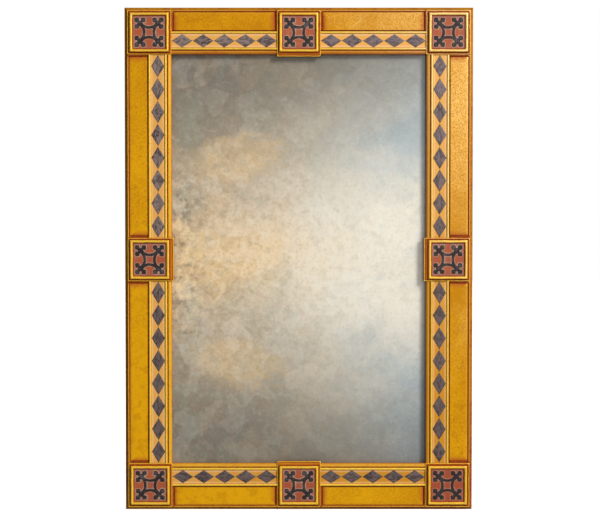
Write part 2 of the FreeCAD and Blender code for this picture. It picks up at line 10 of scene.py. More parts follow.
import bmesh
import bpy
from bpy.props import FloatProperty, FloatVectorProperty, IntProperty, PointerProperty
from mathutils import Matrix, Vector, noise


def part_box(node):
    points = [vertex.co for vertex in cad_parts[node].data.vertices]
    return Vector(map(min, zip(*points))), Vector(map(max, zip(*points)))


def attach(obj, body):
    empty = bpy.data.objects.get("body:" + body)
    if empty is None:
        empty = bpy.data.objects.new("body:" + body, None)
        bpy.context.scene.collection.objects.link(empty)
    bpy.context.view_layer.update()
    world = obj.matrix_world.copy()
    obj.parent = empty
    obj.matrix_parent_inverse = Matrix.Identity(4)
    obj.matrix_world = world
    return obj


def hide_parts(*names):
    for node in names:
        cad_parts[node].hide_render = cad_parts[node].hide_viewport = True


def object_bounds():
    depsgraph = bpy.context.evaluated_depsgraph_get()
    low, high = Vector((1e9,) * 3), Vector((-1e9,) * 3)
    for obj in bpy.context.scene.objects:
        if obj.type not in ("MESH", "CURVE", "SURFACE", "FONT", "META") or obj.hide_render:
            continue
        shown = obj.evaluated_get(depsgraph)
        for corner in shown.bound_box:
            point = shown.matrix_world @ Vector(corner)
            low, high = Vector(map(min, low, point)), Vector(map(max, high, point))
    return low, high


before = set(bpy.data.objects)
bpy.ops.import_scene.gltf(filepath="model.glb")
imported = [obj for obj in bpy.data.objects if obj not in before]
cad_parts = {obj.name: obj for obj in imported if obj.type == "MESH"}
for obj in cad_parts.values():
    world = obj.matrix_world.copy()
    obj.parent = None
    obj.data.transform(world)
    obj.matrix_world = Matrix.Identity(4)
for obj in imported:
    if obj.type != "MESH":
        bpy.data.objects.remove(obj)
CAD_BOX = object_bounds()

bl_info = {
    "name": "Overmantel mirror",
    "version": (1, 0, 0),
    "blender": (4, 5, 0),
    "location": "3D View > Sidebar > Mirror",
    "description": "Dresses the packed mirror frame in gilding, paint, inlay and antiqued glass",
    "category": "Object",
}

ROOT = "frame"
SEED = 11
noise.seed_set(SEED)
SIDE_TURNS = {"top": 0, "right": 90, "bottom": 180, "left": 270}
SIDE_RUNS = {
    "top": ("right", "left"),
    "right": ("lower", "upper"),
    "bottom": ("left", "right"),
    "left": ("upper", "lower"),
}
# Painted shade added to the glaze of each sight edge: the one that faces down, away from the light, gets
# the most.
SIGHT_SHADE = {"top": 0.15, "right": 0.05, "bottom": 0.05, "left": 0.0}
BLOCKS = ("top_left", "top_middle", "top_right", "right_middle")
BLOCKS += ("bottom_right", "bottom_middle", "bottom_left", "left_middle")
HANGER_SIDES = ("left", "right")
HALF_WIDTH = CAD_BOX[1].x
HALF_HEIGHT = CAD_BOX[1].z
# The members' front carries the panels, mouldings and blocks.
CARRIER_DEPTH = -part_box("top_rail")[0].y
# Edges that turn by more than this stay crisp.
CREASE = math.radians(40)
# Half the width over which the grain of one member gives way to the next at a mitre.
MITRE_HALF = 0.0002


def paint(red, green, blue):
    """Turn a colour as a screen shows it, 0 to 255, into the linear colour that shaders use."""
    linear = []
    for level in (red, green, blue):
        share = level / 255
        linear.append(share / 12.92 if share <= 0.04045 else ((share + 0.055) / 1.055) ** 2.4)
    return (*linear, 1.0)


def length(title, text, default, least=0.0):
    """Return a length property."""
    return FloatProperty(
        name=title, description=text, default=default, min=least, unit="LENGTH", precision=5
    )


def slant(title, text, default):
    """Return an angle property."""
    return FloatProperty(name=title, description=text, default=default, subtype="ANGLE")


def light_level(title, text, default, unit="NONE"):
    """Return a property for the strength of a light."""
    return FloatProperty(name=title, description=text, default=default, min=0.0, unit=unit)


def colour(title, text, default):
    """Return a colour property."""
    return FloatVectorProperty(
        name=title, description=text, default=default, size=4, min=0.0, max=1.0, subtype="COLOR"
    )


class MouldingSizes(bpy.types.PropertyGroup):
    """Bands of the members from the outer edge inwards, and the heights of their mouldings."""

    rim_width: length("Rim width", "Bead round the outer side and ends of a field", 0.0035)
    rim_quirk: length("Rim quirk", "Groove between the rim and the field", 0.0022)
    rim_quirk_drop: length("Rim quirk drop", "Depth of that groove below the field", 0.0016)
    field_ease: length("Field ease", "Rounding along the edge of a field", 0.0010)
    field_shade: length("Field shade", "Toned margin inside the edge of a field", 0.0150)
    field_lap: length("Field lap", "Inner edge of a field over the groove beside it", 0.0012)
    bead_lap: length("Bead lap", "Outer bead over the same groove", 0.0013)
    bead_width: length("Bead width", "Each bead beside the inlaid strip", 0.0068)
    strip_width: length("Strip width", "Ground of the lozenges", 0.0348)
    bead_rise: length("Bead rise", "Crown of the beads above the ground", 0.0030)
    sight_quirk: length("Sight quirk", "Groove between the inner bead and the sight edge", 0.0026)
    sight_quirk_drop: length("Sight quirk drop", "Depth of that groove below the ground", 0.0006)
    sight_width: length("Sight width", "Ovolo along the glass", 0.0090)
    sight_rise: length("Sight rise", "Top of the ovolo above the ground", 0.0019)
    sight_nose: length("Sight nose", "Edge of the ovolo below the ground", 0.0031)
    sight_flat: length("Sight flat", "Level top of the ovolo", 0.0010)
    waver: length("Waver", "Unevenness left by the hand in carved edges", 0.0006)


class BlockSizes(bpy.types.PropertyGroup):
    """Mouldings of the raised blocks."""

    lip_width: length("Lip width", "Bead round the edge of a plinth", 0.0024)
    lip_quirk: length("Lip quirk", "Groove inside that bead", 0.0012)
    ring_half: length("Ring half", "Half of the ring's outer side", 0.0505)
    ring_width: length("Ring width", "Rounded gilt ring round a tile", 0.0071)
    ring_roundness: length("Ring roundness", "Rise of the ring's rounded top", 0.0022)
    ring_quirk: length("Ring quirk", "Groove round the ring", 0.0016)
    quirk_drop: length("Quirk drop", "Depth of the grooves on a plinth", 0.0007)
    plinth_slope: length("Plinth slope", "Fall of a plinth from its ring to its edge", 0.0012)


class TileSizes(bpy.types.PropertyGroup):
    """Rosette on each tile: four bars bowed inwards and a trefoil at each corner."""

    lap: length("Lap", "Paint past the edge of a tile on to its seat", 0.0009)
    relief: length("Relief", "Height of the carved rosette", 0.0013)
    slope: length("Slope", "Width of the rosette's rounded edges", 0.0014)
    bar_reach: length("Bar reach", "Middle of a bar from the centre", 0.0125)
    bar_radius: length("Bar radius", "Bend of a bar", 0.0265)
    bar_width: length("Bar width", "Thickness of a bar", 0.0063)
    knot_reach: length("Knot reach", "Middle of a corner's knot from the centre, each way", 0.0228)
    knot_radius: length("Knot radius", "Size of that knot", 0.0060)
    stem_width: length("Stem width", "Join of that knot and the corner's outer lobe", 0.0058)
    tip_reach: length("Tip reach", "Middle of a corner's outer lobe, each way", 0.0318)
    lobe_near: length("Lobe near", "Middle of a side lobe, short way", 0.0146)
    lobe_far: length("Lobe far", "Middle of a side lobe, long way", 0.0315)
    lobe_radius: length("Lobe radius", "Size of a lobe", 0.0055)
    blend: length("Blend", "Softness of the joins within the rosette", 0.0008)
    border: length("Border", "Painted margin round the rosette", 0.0032)
    centre_square: length("Centre square", "Half of the small painted square", 0.0058)
    grid: length("Grid", "Spacing of the tile's surface points", 0.00055)


class FittingSizes(bpy.types.PropertyGroup):
    """Inlays, screws and rings."""

    lozenge_gap: length("Lozenge gap", "Space between neighbouring solid lozenges", 0.0045)
    lozenge_space: length("Lozenge space", "What shows of that between their tips", 0.0004)
    lozenge_width: length("Lozenge width", "Lozenge across the strip", 0.0342)
    lozenge_crown: length("Lozenge crown", "Rise of a lozenge above its ground", 0.0006)
    lozenge_tilt: slant("Lozenge tilt", "Largest chance turn of a lozenge", 0.016)
    lozenges_rail: IntProperty(name="Lozenges on a rail run", description="Count", default=5, min=1)
    lozenges_stile: IntProperty(name="Lozenges on a stile run", description="Count", default=8, min=1)
    screw_slot: length("Screw slot", "Width of the slot in a screw's head", 0.0009)
    wire_radius: length("Wire radius", "Wire of the hanging rings", 0.00175)
    ring_bend: length("Ring bend", "Bend at the ends of a ring's bar", 0.0040)
    ring_leg: length("Ring leg", "Straight of a ring beside its bend, from the hinge", 0.0080)


class FinishColours(bpy.types.PropertyGroup):
    """Colours of the finishes."""

    gold: colour("Gold", "Gilded fields", paint(242, 177, 4))
    # Also painted shade: the gilding deepens towards the right and the top.
    gold_deep: colour("Deep gold", "Thin or toned gilding", paint(196, 130, 1))
    # Burnished gold, also a painted highlight on the crowns of beads and edges.
    gold_bright: colour("Bright gold", "Burnished beads and edges", paint(255, 220, 84))
    # Painted highlight: beads at the upper right whitened as if catching the light.
    gold_white: colour("White gold", "Beads rubbed bright at the upper right", paint(255, 238, 186))
    # Painted highlight: pale gold standing in for the light's sheen at the upper right.
    gold_pale: colour("Pale gold", "Gilding rubbed thin at the upper right", paint(255, 216, 136))
    umber: colour("Umber", "Dark toning in the grooves", paint(118, 36, 8))
    bole: colour("Bole", "Red clay under the gold", paint(170, 72, 28))
    blush: colour("Blush", "Rubbed clay along worn edges", paint(214, 150, 104))
    ochre: colour("Ochre", "Ground of the lozenges", paint(226, 168, 86))
    peach: colour("Peach", "Pale margin of that ground", paint(234, 188, 136))
    slate: colour("Slate", "Lozenges", paint(138, 120, 113))
    slate_cool: colour("Cool slate", "Lozenges at the upper right", paint(119, 102, 111))
    slate_dark: colour("Dark slate", "Streaks and edges of the lozenges", paint(52, 38, 42))
    charcoal: colour("Charcoal", "Painted rosette", paint(27, 21, 22))
    charcoal_worn: colour("Worn charcoal", "Rubbed tops of the rosette", paint(92, 82, 86))
    terracotta: colour("Terracotta", "Fields between the rosette's arms", paint(166, 80, 44))
    mauve: colour("Mauve", "Margin of a tile", paint(152, 96, 84))
    chalk: colour("Chalk", "Outline of the rosette", paint(180, 142, 118))
    # Painted reflection: the glass dims towards the top and bottom, duskier on the right.
    mirror_dim: colour("Dim mirror", "Glass towards the top and bottom", paint(111, 106, 96))
    mirror_dusk: colour("Dusky mirror", "The same towards the right", paint(117, 123, 124))
    mirror_warm: colour("Warm mirror", "Foxed glass on the left", paint(219, 197, 165))
    # Also the painted reflection of the room's light on the right.
    mirror_pale: colour("Pale mirror", "Clear glass on the right", paint(236, 232, 218))
    # Painted reflection on the right, and bluish patches all over.
    mirror_cool: colour("Cool mirror", "Bluish haze at the right", paint(184, 202, 212))
    mirror_ochre: colour("Ochre mirror", "Stained patches on the left", paint(236, 202, 148))
    mirror_rose: colour("Rosy mirror", "Reddish stain in the silver", paint(190, 158, 136))
    mirror_moss: colour("Mossy mirror", "Greenish stain in the silver", paint(138, 143, 122))
    mirror_cream: colour("Cream mirror", "Pale spots by the left edge", paint(250, 222, 168))
    # Painted shadow of the frame along the right edge of the glass.
    mirror_edge_shadow: colour("Mirror edge", "Silver worn dark along the right edge", paint(96, 106, 110))
    mirror_spot: colour("Foxing", "Dark spots of worn silver", paint(118, 100, 80))
    timber: colour("Timber", "Bare backs of the members", paint(176, 130, 84))
    timber_dark: colour("Dark timber", "Grain of the members", paint(128, 84, 48))
    ply: colour("Ply", "Back board", paint(206, 170, 122))
    ply_dark: colour("Dark ply", "Grain of the back board", paint(170, 128, 82))
    zinc: colour("Zinc", "Plated steel", paint(196, 198, 200))
    rubber: colour("Rubber", "Wall bumpers", paint(44, 42, 41))
    floor: colour("Floor", "Studio floor", paint(246, 245, 243))


class StageSetting(bpy.types.PropertyGroup):
    """Camera and lights."""

    distance: length("Camera distance", "From the camera to the middle of the mirror", 4.5)
    elevation: slant("Camera elevation", "Angle above level", math.radians(1.7))
    lens: FloatProperty(name="Lens", description="Focal length", default=104.7, unit="CAMERA")
    aim_x: length("Aim across", "Aimed at, right of centre", 0.003, -1.0)
    aim_z: length("Aim up", "Aimed at, above centre", 0.003, -1.0)
    key_power: light_level("Key power", "Main light", 392.0, "POWER")
    window_power: light_level("Window power", "Soft light in front", 4.0, "POWER")
    fill_light: light_level("Surroundings", "Light of the room's lit side", 0.64)
    fill_shade: light_level("Shade", "Light of the room's far side", 0.09)
    fill_behind: light_level("Behind", "Light on the back", 0.9)
    floor_glow: light_level("Floor glow", "Light of the floor's own", 0.74)


class Wire:
    """A node's output that can be used in sums and fed to other nodes."""

    def __init__(self, tree, socket):
        self.tree = tree
        self.socket = socket

    @classmethod
    def node(cls, tree, kind, settings=None, inputs=None, output=0):
        """Add a node with its settings and with values or wires on its inputs, and return one output."""
        made = tree.nodes.new(kind)
        for name, value in (settings or {}).items():
            setattr(made, name, value)
        for key, value in (inputs or {}).items():
            cls.plug(made.inputs[key], value)
        return cls(tree, made.outputs[output])

    @staticmethod
    def plug(socket, value):
        """Link a wire to a node's input, or set a plain value on it."""
        if isinstance(value, Wire):
            value.tree.links.new(value.socket, socket)
        else:
            socket.default_value = value

    def maths(self, operation, *values):
        """Add a sum of values."""
        return Wire.node(self.tree, "ShaderNodeMath", {"operation": operation}, dict(enumerate(values)))

    def vector_maths(self, operation, inputs, output=0):
        """Add a sum of vectors whose first input is this one."""
        settings = {"operation": operation}
        return Wire.node(self.tree, "ShaderNodeVectorMath", settings, {0: self, **inputs}, output)

    def __add__(self, other):
        return self.maths("ADD", self, other)

    def __radd__(self, other):
        return self.maths("ADD", other, self)

    def __sub__(self, other):
        return self.maths("SUBTRACT", self, other)

    def __rsub__(self, other):
        return self.maths("SUBTRACT", other, self)

    def __mul__(self, other):
        return self.maths("MULTIPLY", self, other)

    def __rmul__(self, other):
        return self.maths("MULTIPLY", other, self)

    def __truediv__(self, other):
        return self.maths("DIVIDE", self, other)

    def __abs__(self):
        return self.maths("ABSOLUTE", self)

    def waves(self):
        """Turn a steady rise into waves between 0 and 1."""
        return self.maths("SINE", self) * 0.5 + 0.5

    def rise(self, low, high):
        """Go smoothly from 0 at low to 1 at high, or from 1 to 0 where low is the greater."""
        inputs = {"Value": self, "From Min": low, "From Max": high}
        return Wire.node(self.tree, "ShaderNodeMapRange", {"interpolation_type": "SMOOTHSTEP"}, inputs)

    def mix(self, first, second):
        """Mix two colours by this value."""
        inputs = {0: self, 6: first, 7: second}
        return Wire.node(self.tree, "ShaderNodeMix", {"data_type": "RGBA"}, inputs, 2)

    def shape(self):
        """Read the geometry of the object on this wire."""
        return Wire.node(self.tree, "GeometryNodeObjectInfo", None, {"Object": self}, "Geometry")

    def line(self):
        """Read the edges of the object on this wire as a curve."""
        return Wire.node(self.tree, "GeometryNodeMeshToCurve", None, {"Mesh": self.shape()})


class Finish:
    """A material in the making: its surface shader and the patterns that drive it."""

    def __init__(self, name):
        self.material = bpy.data.materials.new(name)
        self.material.use_nodes = True
        self.tree = self.material.node_tree
        self.shader = self.tree.nodes["Principled BSDF"]
        self.place = Wire.node(self.tree, "ShaderNodeTexCoord", output="Object")

    def attribute(self, name):
        """Read a value kept on the mesh."""
        return Wire.node(self.tree, "ShaderNodeAttribute", {"attribute_name": name}, output="Fac")

    def axis(self, name):
        """Read one coordinate of the place."""
        return Wire.node(self.tree, "ShaderNodeSeparateXYZ", None, {0: self.place}, name)

    def clouds(self, scale, detail=4.0, rough=0.55, stretch=(1.0, 1.0, 1.0), warp=0.0):
        """Make a soft random pattern with a number of spots to the metre."""
        place = Wire.node(self.tree, "ShaderNodeMapping", None, {"Vector": self.place, "Scale": stretch})
        inputs = {"Vector": place, "Scale": scale, "Detail": detail, "Roughness": rough, "Distortion": warp}
        return Wire.node(self.tree, "ShaderNodeTexNoise", None, inputs)

    def mitre(self):
        """Measure from the mitres: below 0 on a rail and above 0 on a stile."""
        return abs(self.axis("X")) - abs(self.axis("Z")) + (HALF_HEIGHT - HALF_WIDTH)

    def drawn_out(self, scale, detail, rough, along, across, warp=0.0):
        """Make clouds that are drawn out along the member on which they lie."""
        rail = self.clouds(scale, detail, rough, (along, 1.0, across), warp)
        stile = self.clouds(scale, detail, rough, (across, 1.0, along), warp)
        on_stile = self.mitre().rise(-MITRE_HALF, MITRE_HALF)
        return on_stile * stile + (1 - on_stile) * rail

    def flakes(self, scale):
        """Make random patches with crisp scalloped edges."""
        inputs = {"Vector": self.place, "Scale": scale * 1.6, "Detail": 7.0, "Roughness": 0.68}
        wander = Wire.node(self.tree, "ShaderNodeTexNoise", None, inputs, "Color")
        moved = wander.vector_maths("MULTIPLY_ADD", {1: (0.7 / scale,) * 3, 2: self.place})
        inputs = {"Vector": moved, "Scale": scale}
        patch = Wire.node(self.tree, "ShaderNodeTexVoronoi", None, inputs, "Color")
        return Wire.node(self.tree, "ShaderNodeSeparateColor", None, {0: patch}, "Red")

    def feed(self, **values):
        """Set or link inputs of the surface shader, with underscores for the spaces in their names."""
        for name, value in values.items():
            Wire.plug(self.shader.inputs[name.replace("_", " ")], value)

    def roughen(self, height, distance, strength):
        """Bump the surface by a height pattern."""
        inputs = {"Height": height, "Distance": distance, "Strength": strength}
        self.feed(Normal=Wire.node(self.tree, "ShaderNodeBump", None, inputs))


def gilding(look, name, strip=False):
    """Make water gilding: patchy leaf, red clay at rubbed edges, dark glaze in the grooves, with painted
    shade and painted highlights.
    """
    finish = Finish(name)
    hollow = finish.attribute("hollow")
    crest = finish.attribute("crest")
    patches = finish.clouds(9.0, 4.0)
    mottle = finish.clouds(190.0, 6.0, 0.72)
    flecks = finish.clouds(360.0, 3.0, 0.6)
    dapple = finish.clouds(46.0, 6.0, 0.68)
    right, up = finish.axis("X"), finish.axis("Z")
    # Painted shade: the gold deepens towards the right and the top.
    leaf = mottle * 0.5 + dapple * 0.3 + patches * 0.2 - right * 0.13 - up * 0.1
    leaf = leaf.rise(0.40, 0.60).mix(look.gold_deep, look.gold)
    leaf = (dapple.rise(0.48, 0.62) * 0.45).mix(leaf, look.gold_deep)
    leaf = (mottle.rise(0.54, 0.66) * 0.27).mix(leaf, look.bole)
    # Painted highlight: the gilding turns pale towards the upper right, as if lit there.
    painted_sheen = (right * 0.95 + up * 0.38 + (patches - 0.5) * 0.4).rise(0.26, 0.66)
    grains = (flecks * 0.65 + mottle * 0.35).rise(0.38, 0.58)
    leaf = (grains * (0.01 + painted_sheen * 0.62)).mix(leaf, look.gold_pale)
    if strip:
        ground = finish.attribute("ground")
        margin = (finish.attribute("margin") + (mottle - 0.5) * 0.35).rise(0.62, 0.98)
        lower_right = right * 0.7 - up * 0.7 + (patches - 0.5) * 0.6
        rich = lower_right.rise(0.0, 0.55) * 0.75 + mottle.rise(0.4, 0.7) * 0.25
        soil = (margin * (1 - rich * 0.45)).mix(rich.mix(look.ochre, look.gold_deep), look.peach)
        leaf = ground.mix(leaf, soil)
    # Burnish on the crowns of the beads, with a painted highlight over it, whiter at the upper right.
    burnish_and_highlight = (painted_sheen * 0.6).mix(look.gold_bright, look.gold_white)
    leaf = (crest * (0.35 + mottle * 0.8)).mix(leaf, burnish_and_highlight)
    rubbed = (crest * flecks.rise(0.52, 0.66) * 0.75).mix(leaf, look.blush)
    clay = (flecks * 0.5 + mottle * 0.5 - hollow * 0.14 + 0.1).rise(0.36, 0.60)
    clay = clay.mix(look.umber, look.bole)
    # Glaze in the grooves, and painted shade where the hollow value is raised: at the ends of fields, on
    # plinths and on the sight edges.
    glaze_and_shade = (hollow + (mottle - 0.5) * 0.7 + (patches - 0.5) * 0.3).rise(0.22, 0.85)
    shade = glaze_and_shade.mix(rubbed, clay)
    metal = (1 - glaze_and_shade * 0.9) * 0.42
    if strip:
        metal = metal * (1 - ground * 0.75)
    finish.feed(Base_Color=shade, Metallic=metal, Specular_IOR_Level=0.14)
    finish.feed(Roughness=0.32 + mottle * 0.16 + glaze_and_shade * 0.30)
    finish.roughen(mottle * 0.6 + flecks * 0.5, 0.0006, 0.35)
    return finish.material


def member_finish(look, name):
    """Make the members' finish: dulled gold outside, clay under the mouldings, bare timber behind."""
    finish = Finish(name)
    depth = 0 - finish.axis("Y")
    mottle = finish.clouds(120.0, 6.0, 0.68)
    flecks = finish.clouds(420.0, 3.0, 0.6)
    smears = finish.clouds(16.0, 5.0, 0.6)
    clay = flecks.rise(0.35, 0.65).mix(look.umber, look.bole)
    stained = (finish.axis("X") * 0.6 - finish.axis("Z") * 0.5).rise(0.32, 0.55)
    leaf = (mottle * 0.6 + smears * 0.4 - stained * 0.14).rise(0.30, 0.58)
    leaf = leaf.mix(clay, look.gold_deep)
    # The front lies under the mouldings, where only clay shows between them.
    front = depth.rise(CARRIER_DEPTH - 0.0012, CARRIER_DEPTH - 0.0002)
    gilt = front.mix(leaf, clay)
    grain = finish.drawn_out(26.0, 5.0, 0.55, 0.10, 2.2, 0.5)
    pores = finish.drawn_out(330.0, 3.0, 0.6, 0.05, 1.0).rise(0.52, 0.70)
    figure = grain * 0.55 + (grain * 55.0).waves() * 0.45
    bare = figure.rise(0.15, 0.85).mix(look.timber_dark, look.timber)
    bare = (pores * 0.45).mix(bare, look.timber_dark)
    bare = (smears.rise(0.55, 0.8) * 0.3).mix(bare, look.timber_dark)
    bare = (abs(finish.mitre()).rise(0.0009, MITRE_HALF) * 0.7).mix(bare, look.umber)
    # The gilding ends raggedly on the sides of the frame, a little in front of the back.
    gilt_from, bare_to = 0.0118, 0.0098
    back = (depth + (smears - 0.5) * 0.006).rise(gilt_from, bare_to)
    finish.feed(Base_Color=back.mix(gilt, bare), Specular_IOR_Level=0.18)
    finish.feed(Metallic=(1 - back) * (1 - front * 0.85) * 0.5)
    finish.feed(Roughness=0.42 + mottle * 0.14 + back * 0.16 + front * 0.15)
    finish.roughen(mottle * 0.5 + (figure * 0.4 - pores * 0.6) * back + flecks * 0.3, 0.0006, 0.4)
    return finish.material


def slate_finish(look, name):
    """Make the lozenges: streaked grey stone paint, darker towards the edge."""
    finish = Finish(name)
    tone = finish.attribute("tone")
    edge = finish.attribute("edge")
    streaks = finish.drawn_out(125.0, 6.0, 0.7, 0.42, 1.1, 1.2)
    grit = finish.clouds(700.0, 3.0, 0.6)
    right, up = finish.axis("X"), finish.axis("Z")
    stone = ((right * 0.6 + up * 0.6).rise(0.1, 0.5) * 0.7).mix(look.slate, look.slate_cool)
    stone = ((right * 0.25 - up * 0.9).rise(-0.35, 0.2) * 0.5).mix(stone, look.slate_dark)
    shade = (streaks.rise(0.40, 0.58) * 0.75 + tone * 0.25).mix(look.slate_dark, stone)
    shade = (edge.rise(0.55, 1.0) * 0.7).mix(shade, look.slate_dark)
    shade = (grit.rise(0.62, 0.78) * 0.3).mix(shade, look.chalk)
    finish.feed(Base_Color=shade, Roughness=0.40 + streaks * 0.22, Specular_IOR_Level=0.45)
    finish.roughen(streaks * 0.6 + grit * 0.4, 0.0004, 0.35)
    return finish.material


def tile_finish(look, name):
    """Make the tiles' paint: charcoal rosette with a chalk outline on terracotta, in a mauve margin."""
    finish = Finish(name)
    gap = finish.attribute("gap")
    bulb = finish.attribute("bulb")
    brush = finish.clouds(260.0, 5.0, 0.65)
    patches = finish.clouds(60.0, 3.0)
    grit = finish.clouds(900.0, 3.0, 0.6)
    unsure = (brush - 0.5) * 1.1
    ground = (bulb + (brush - 0.5) * 0.5).rise(0.3, 0.7).mix(look.mauve, look.terracotta)
    ground = (patches.rise(0.5, 0.8) * 0.3).mix(ground, look.chalk)
    lower_right = finish.axis("X") * 0.8 - finish.axis("Z") * 0.7
    ground = (0.08 + lower_right.rise(0.2, 0.75) * 0.4).mix(ground, look.umber)
    fresh = lower_right.rise(0.35, 0.70)
    ground = (fresh * 0.35).mix(ground, look.bole)
    chalked = (0.4 + patches.rise(0.40, 0.62) * 0.5) * (1 - fresh * 0.45)
    lined = ((gap + unsure).rise(3.0, 1.3) * chalked).mix(ground, look.chalk)
    wear = (brush * 0.5 + patches * 0.5).rise(0.46, 0.62)
    rubbed = gap.rise(-0.4, -2.2) * wear * (0.75 - fresh * 0.55)
    rubbed = rubbed.mix(look.charcoal, look.charcoal_worn)
    shade = (gap + unsure * 0.7).rise(0.55, -0.15).mix(lined, rubbed)
    shade = (grit.rise(0.60, 0.80) * 0.22).mix(shade, look.umber)
    finish.feed(Base_Color=shade, Roughness=0.48 + brush * 0.2, Specular_IOR_Level=0.4)
    finish.roughen(brush * 0.7 + grit * 0.4, 0.0005, 0.4)
    return finish.material


def antiqued_mirror(look, name):
    """Make the old mirror: silver clouded by age, stained and foxed on the left, clearer on the right, with
    a painted reflection that is pale on the right and dim at the top and bottom.
    """
    finish = Finish(name)
    right = finish.axis("X")
    up = abs(finish.axis("Z") + 0.002)
    haze = finish.clouds(4.2, 6.0, 0.6, warp=0.4) - 0.5
    patches = finish.clouds(17.0, 8.0, 0.7, warp=0.3) - 0.5
    mottle = finish.clouds(52.0, 7.0, 0.72) - 0.5
    spots = finish.clouds(40.0, 4.0, 0.6) - 0.5
    tint = finish.clouds(34.0, 6.0, 0.7) - 0.5
    dapple = finish.clouds(125.0, 5.0, 0.7) - 0.5
    flakes = finish.flakes(9.0)
    chips = finish.flakes(24.0)
    # Silver that is warm and stained on the left; its pale and bluish right and dim top and bottom are a
    # painted reflection of the room's light.
    drift = haze * 0.30 + patches * 0.30 + mottle * 0.14
    # Painted reflection: the silver is paler towards the right, where it is also a little clearer.
    clear = (right + drift).rise(-0.26, 0.20)
    warm = (up + drift * 0.3).rise(0.16, 0.02).mix(look.mirror_warm, look.mirror_ochre)
    body = clear.mix(warm, look.mirror_pale)
    # Painted reflection: a bluish tint on the right, above and below the middle.
    cool_reflection = (right + drift).rise(0.02, 0.30) * (up + drift * 0.7).rise(0.13, 0.32)
    body = (cool_reflection * 0.85).mix(body, look.mirror_cool)
    # Painted reflection: the glass is dimmer towards the top and bottom.
    dim = (up - right * 0.22 + drift * 0.32).rise(0.02, 0.55)
    gloom = (right + drift).rise(0.0, 0.40).mix(look.mirror_dim, look.mirror_dusk)
    body = (dim * 0.97).mix(body, gloom)
    # Two oval stains left of the middle, one above it and one below.
    stain_x, stain_z, stain_wide, stain_high = -0.155, 0.265, 0.115, 0.062
    off = right - stain_x
    across = off / stain_wide
    along = (up - stain_z - off * 0.12) / stain_high
    stain = (across * across + along * along + patches * 4.0 + mottle * 3.0).rise(1.5, 0.3)
    body = (stain * 0.46).mix(body, look.mirror_ochre)
    cold = (right + drift * 0.25).rise(-0.23, -0.31) * up.rise(0.07, 0.15) * up.rise(0.40, 0.28)
    body = (cold * 0.22).mix(body, look.mirror_moss)
    # Flaked and mottled silver, more of it on the left.
    aged = right.rise(0.16, -0.32)
    ageing = aged * 0.6 + 0.4
    loose = ageing * 0.18
    body = (flakes.rise(0.62, 0.70) * loose).mix(body, look.mirror_moss)
    body = (flakes.rise(0.36, 0.28) * (1 - dim * 0.5) * loose).mix(body, look.mirror_ochre)
    body = (chips.rise(0.66, 0.72) * loose * 0.7).mix(body, look.mirror_spot)
    body = (chips.rise(0.34, 0.28) * (1 - dim * 0.6) * loose).mix(body, look.mirror_pale)
    body = (mottle.rise(0.03, -0.16) * ageing * 0.30).mix(body, look.mirror_spot)
    body = (mottle.rise(0.0, 0.18) * ageing * (1 - dim * 0.75) * 0.34).mix(body, look.mirror_pale)
    body = (patches.rise(0.0, 0.18) * aged * (1 - dim * 0.5) * 0.22).mix(body, look.mirror_ochre)
    body = (patches.rise(0.0, -0.18) * (1 - dim * 0.8) * 0.20).mix(body, look.mirror_cool)
    stained = (aged * 0.8 + 0.2) * 0.34
    body = (tint.rise(0.02, 0.16) * (1 - dim * 0.7) * stained).mix(body, look.mirror_rose)
    body = (tint.rise(-0.02, -0.16) * stained).mix(body, look.mirror_moss)
    # Foxing by the left edge, fine dapples all over, and the frame's shadow painted along the right edge.
    edge = right.rise(-0.20, -0.31) * up.rise(0.33, 0.12)
    body = (spots.rise(-0.02, -0.12) * edge * 0.55).mix(body, look.mirror_spot)
    body = (spots.rise(0.02, 0.12) * edge * up.rise(0.22, 0.05) * 0.55).mix(body, look.mirror_cream)
    body = (dapple.rise(0.02, -0.18) * (0.10 + aged * 0.06)).mix(body, look.mirror_spot)
    body = (dapple.rise(0.02, 0.18) * (0.11 - dim * 0.06)).mix(body, look.mirror_pale)
    # Painted shadow: the right stile's shadow darkens the glass along its right edge.
    shadow_from, shadow_to = 0.316, 0.330
    worn = (right + mottle * 0.006).rise(shadow_from, shadow_to) * 0.5
    body = worn.mix(body, look.mirror_edge_shadow)
    finish.feed(Base_Color=body, Metallic=0.16 + clear * 0.06)
    finish.feed(Roughness=0.46 + mottle * 0.3 - clear * 0.06, Coat_Weight=0.5, Coat_Roughness=0.08)
    finish.roughen(patches + mottle * 0.7, 0.002, 0.06)
    return finish.material


def plywood(look, name):
    """Make the back board: pale rotary-cut ply with long grain."""
    finish = Finish(name)
    grain = finish.clouds(8.0, 4.0, 0.5, (1.5, 1.0, 0.16), 0.6)
    pores = finish.clouds(360.0, 4.0, 0.6, (1.0, 1.0, 0.04))
    stain = finish.clouds(3.0, 3.0)
    rings = (grain * 95.0).waves()
    shade = (rings * 0.55 + grain.rise(0.36, 0.66) * 0.45).mix(look.ply_dark, look.ply)
    shade = (pores.rise(0.52, 0.70) * 0.45).mix(shade, look.ply_dark)
    shade = (stain.rise(0.5, 0.8) * 0.25).mix(shade, look.timber)
    finish.feed(Base_Color=shade, Roughness=0.62 + grain * 0.16)
    finish.roughen(rings * 0.4 - pores, 0.0004, 0.4)
    return finish.material


def zinc_plate(look, name):
    """Make zinc-plated steel with handling marks."""
    finish = Finish(name)
    marks = finish.clouds(260.0, 5.0, 0.6, (1.0, 1.0, 0.3))
    dull = finish.clouds(120.0, 3.0)
    shade = (dull.rise(0.5, 0.75) * 0.35).mix(look.zinc, look.slate)
    finish.feed(Base_Color=shade, Metallic=1.0, Roughness=0.26 + marks * 0.24)
    finish.roughen(marks, 0.0002, 0.25)
    return finish.material


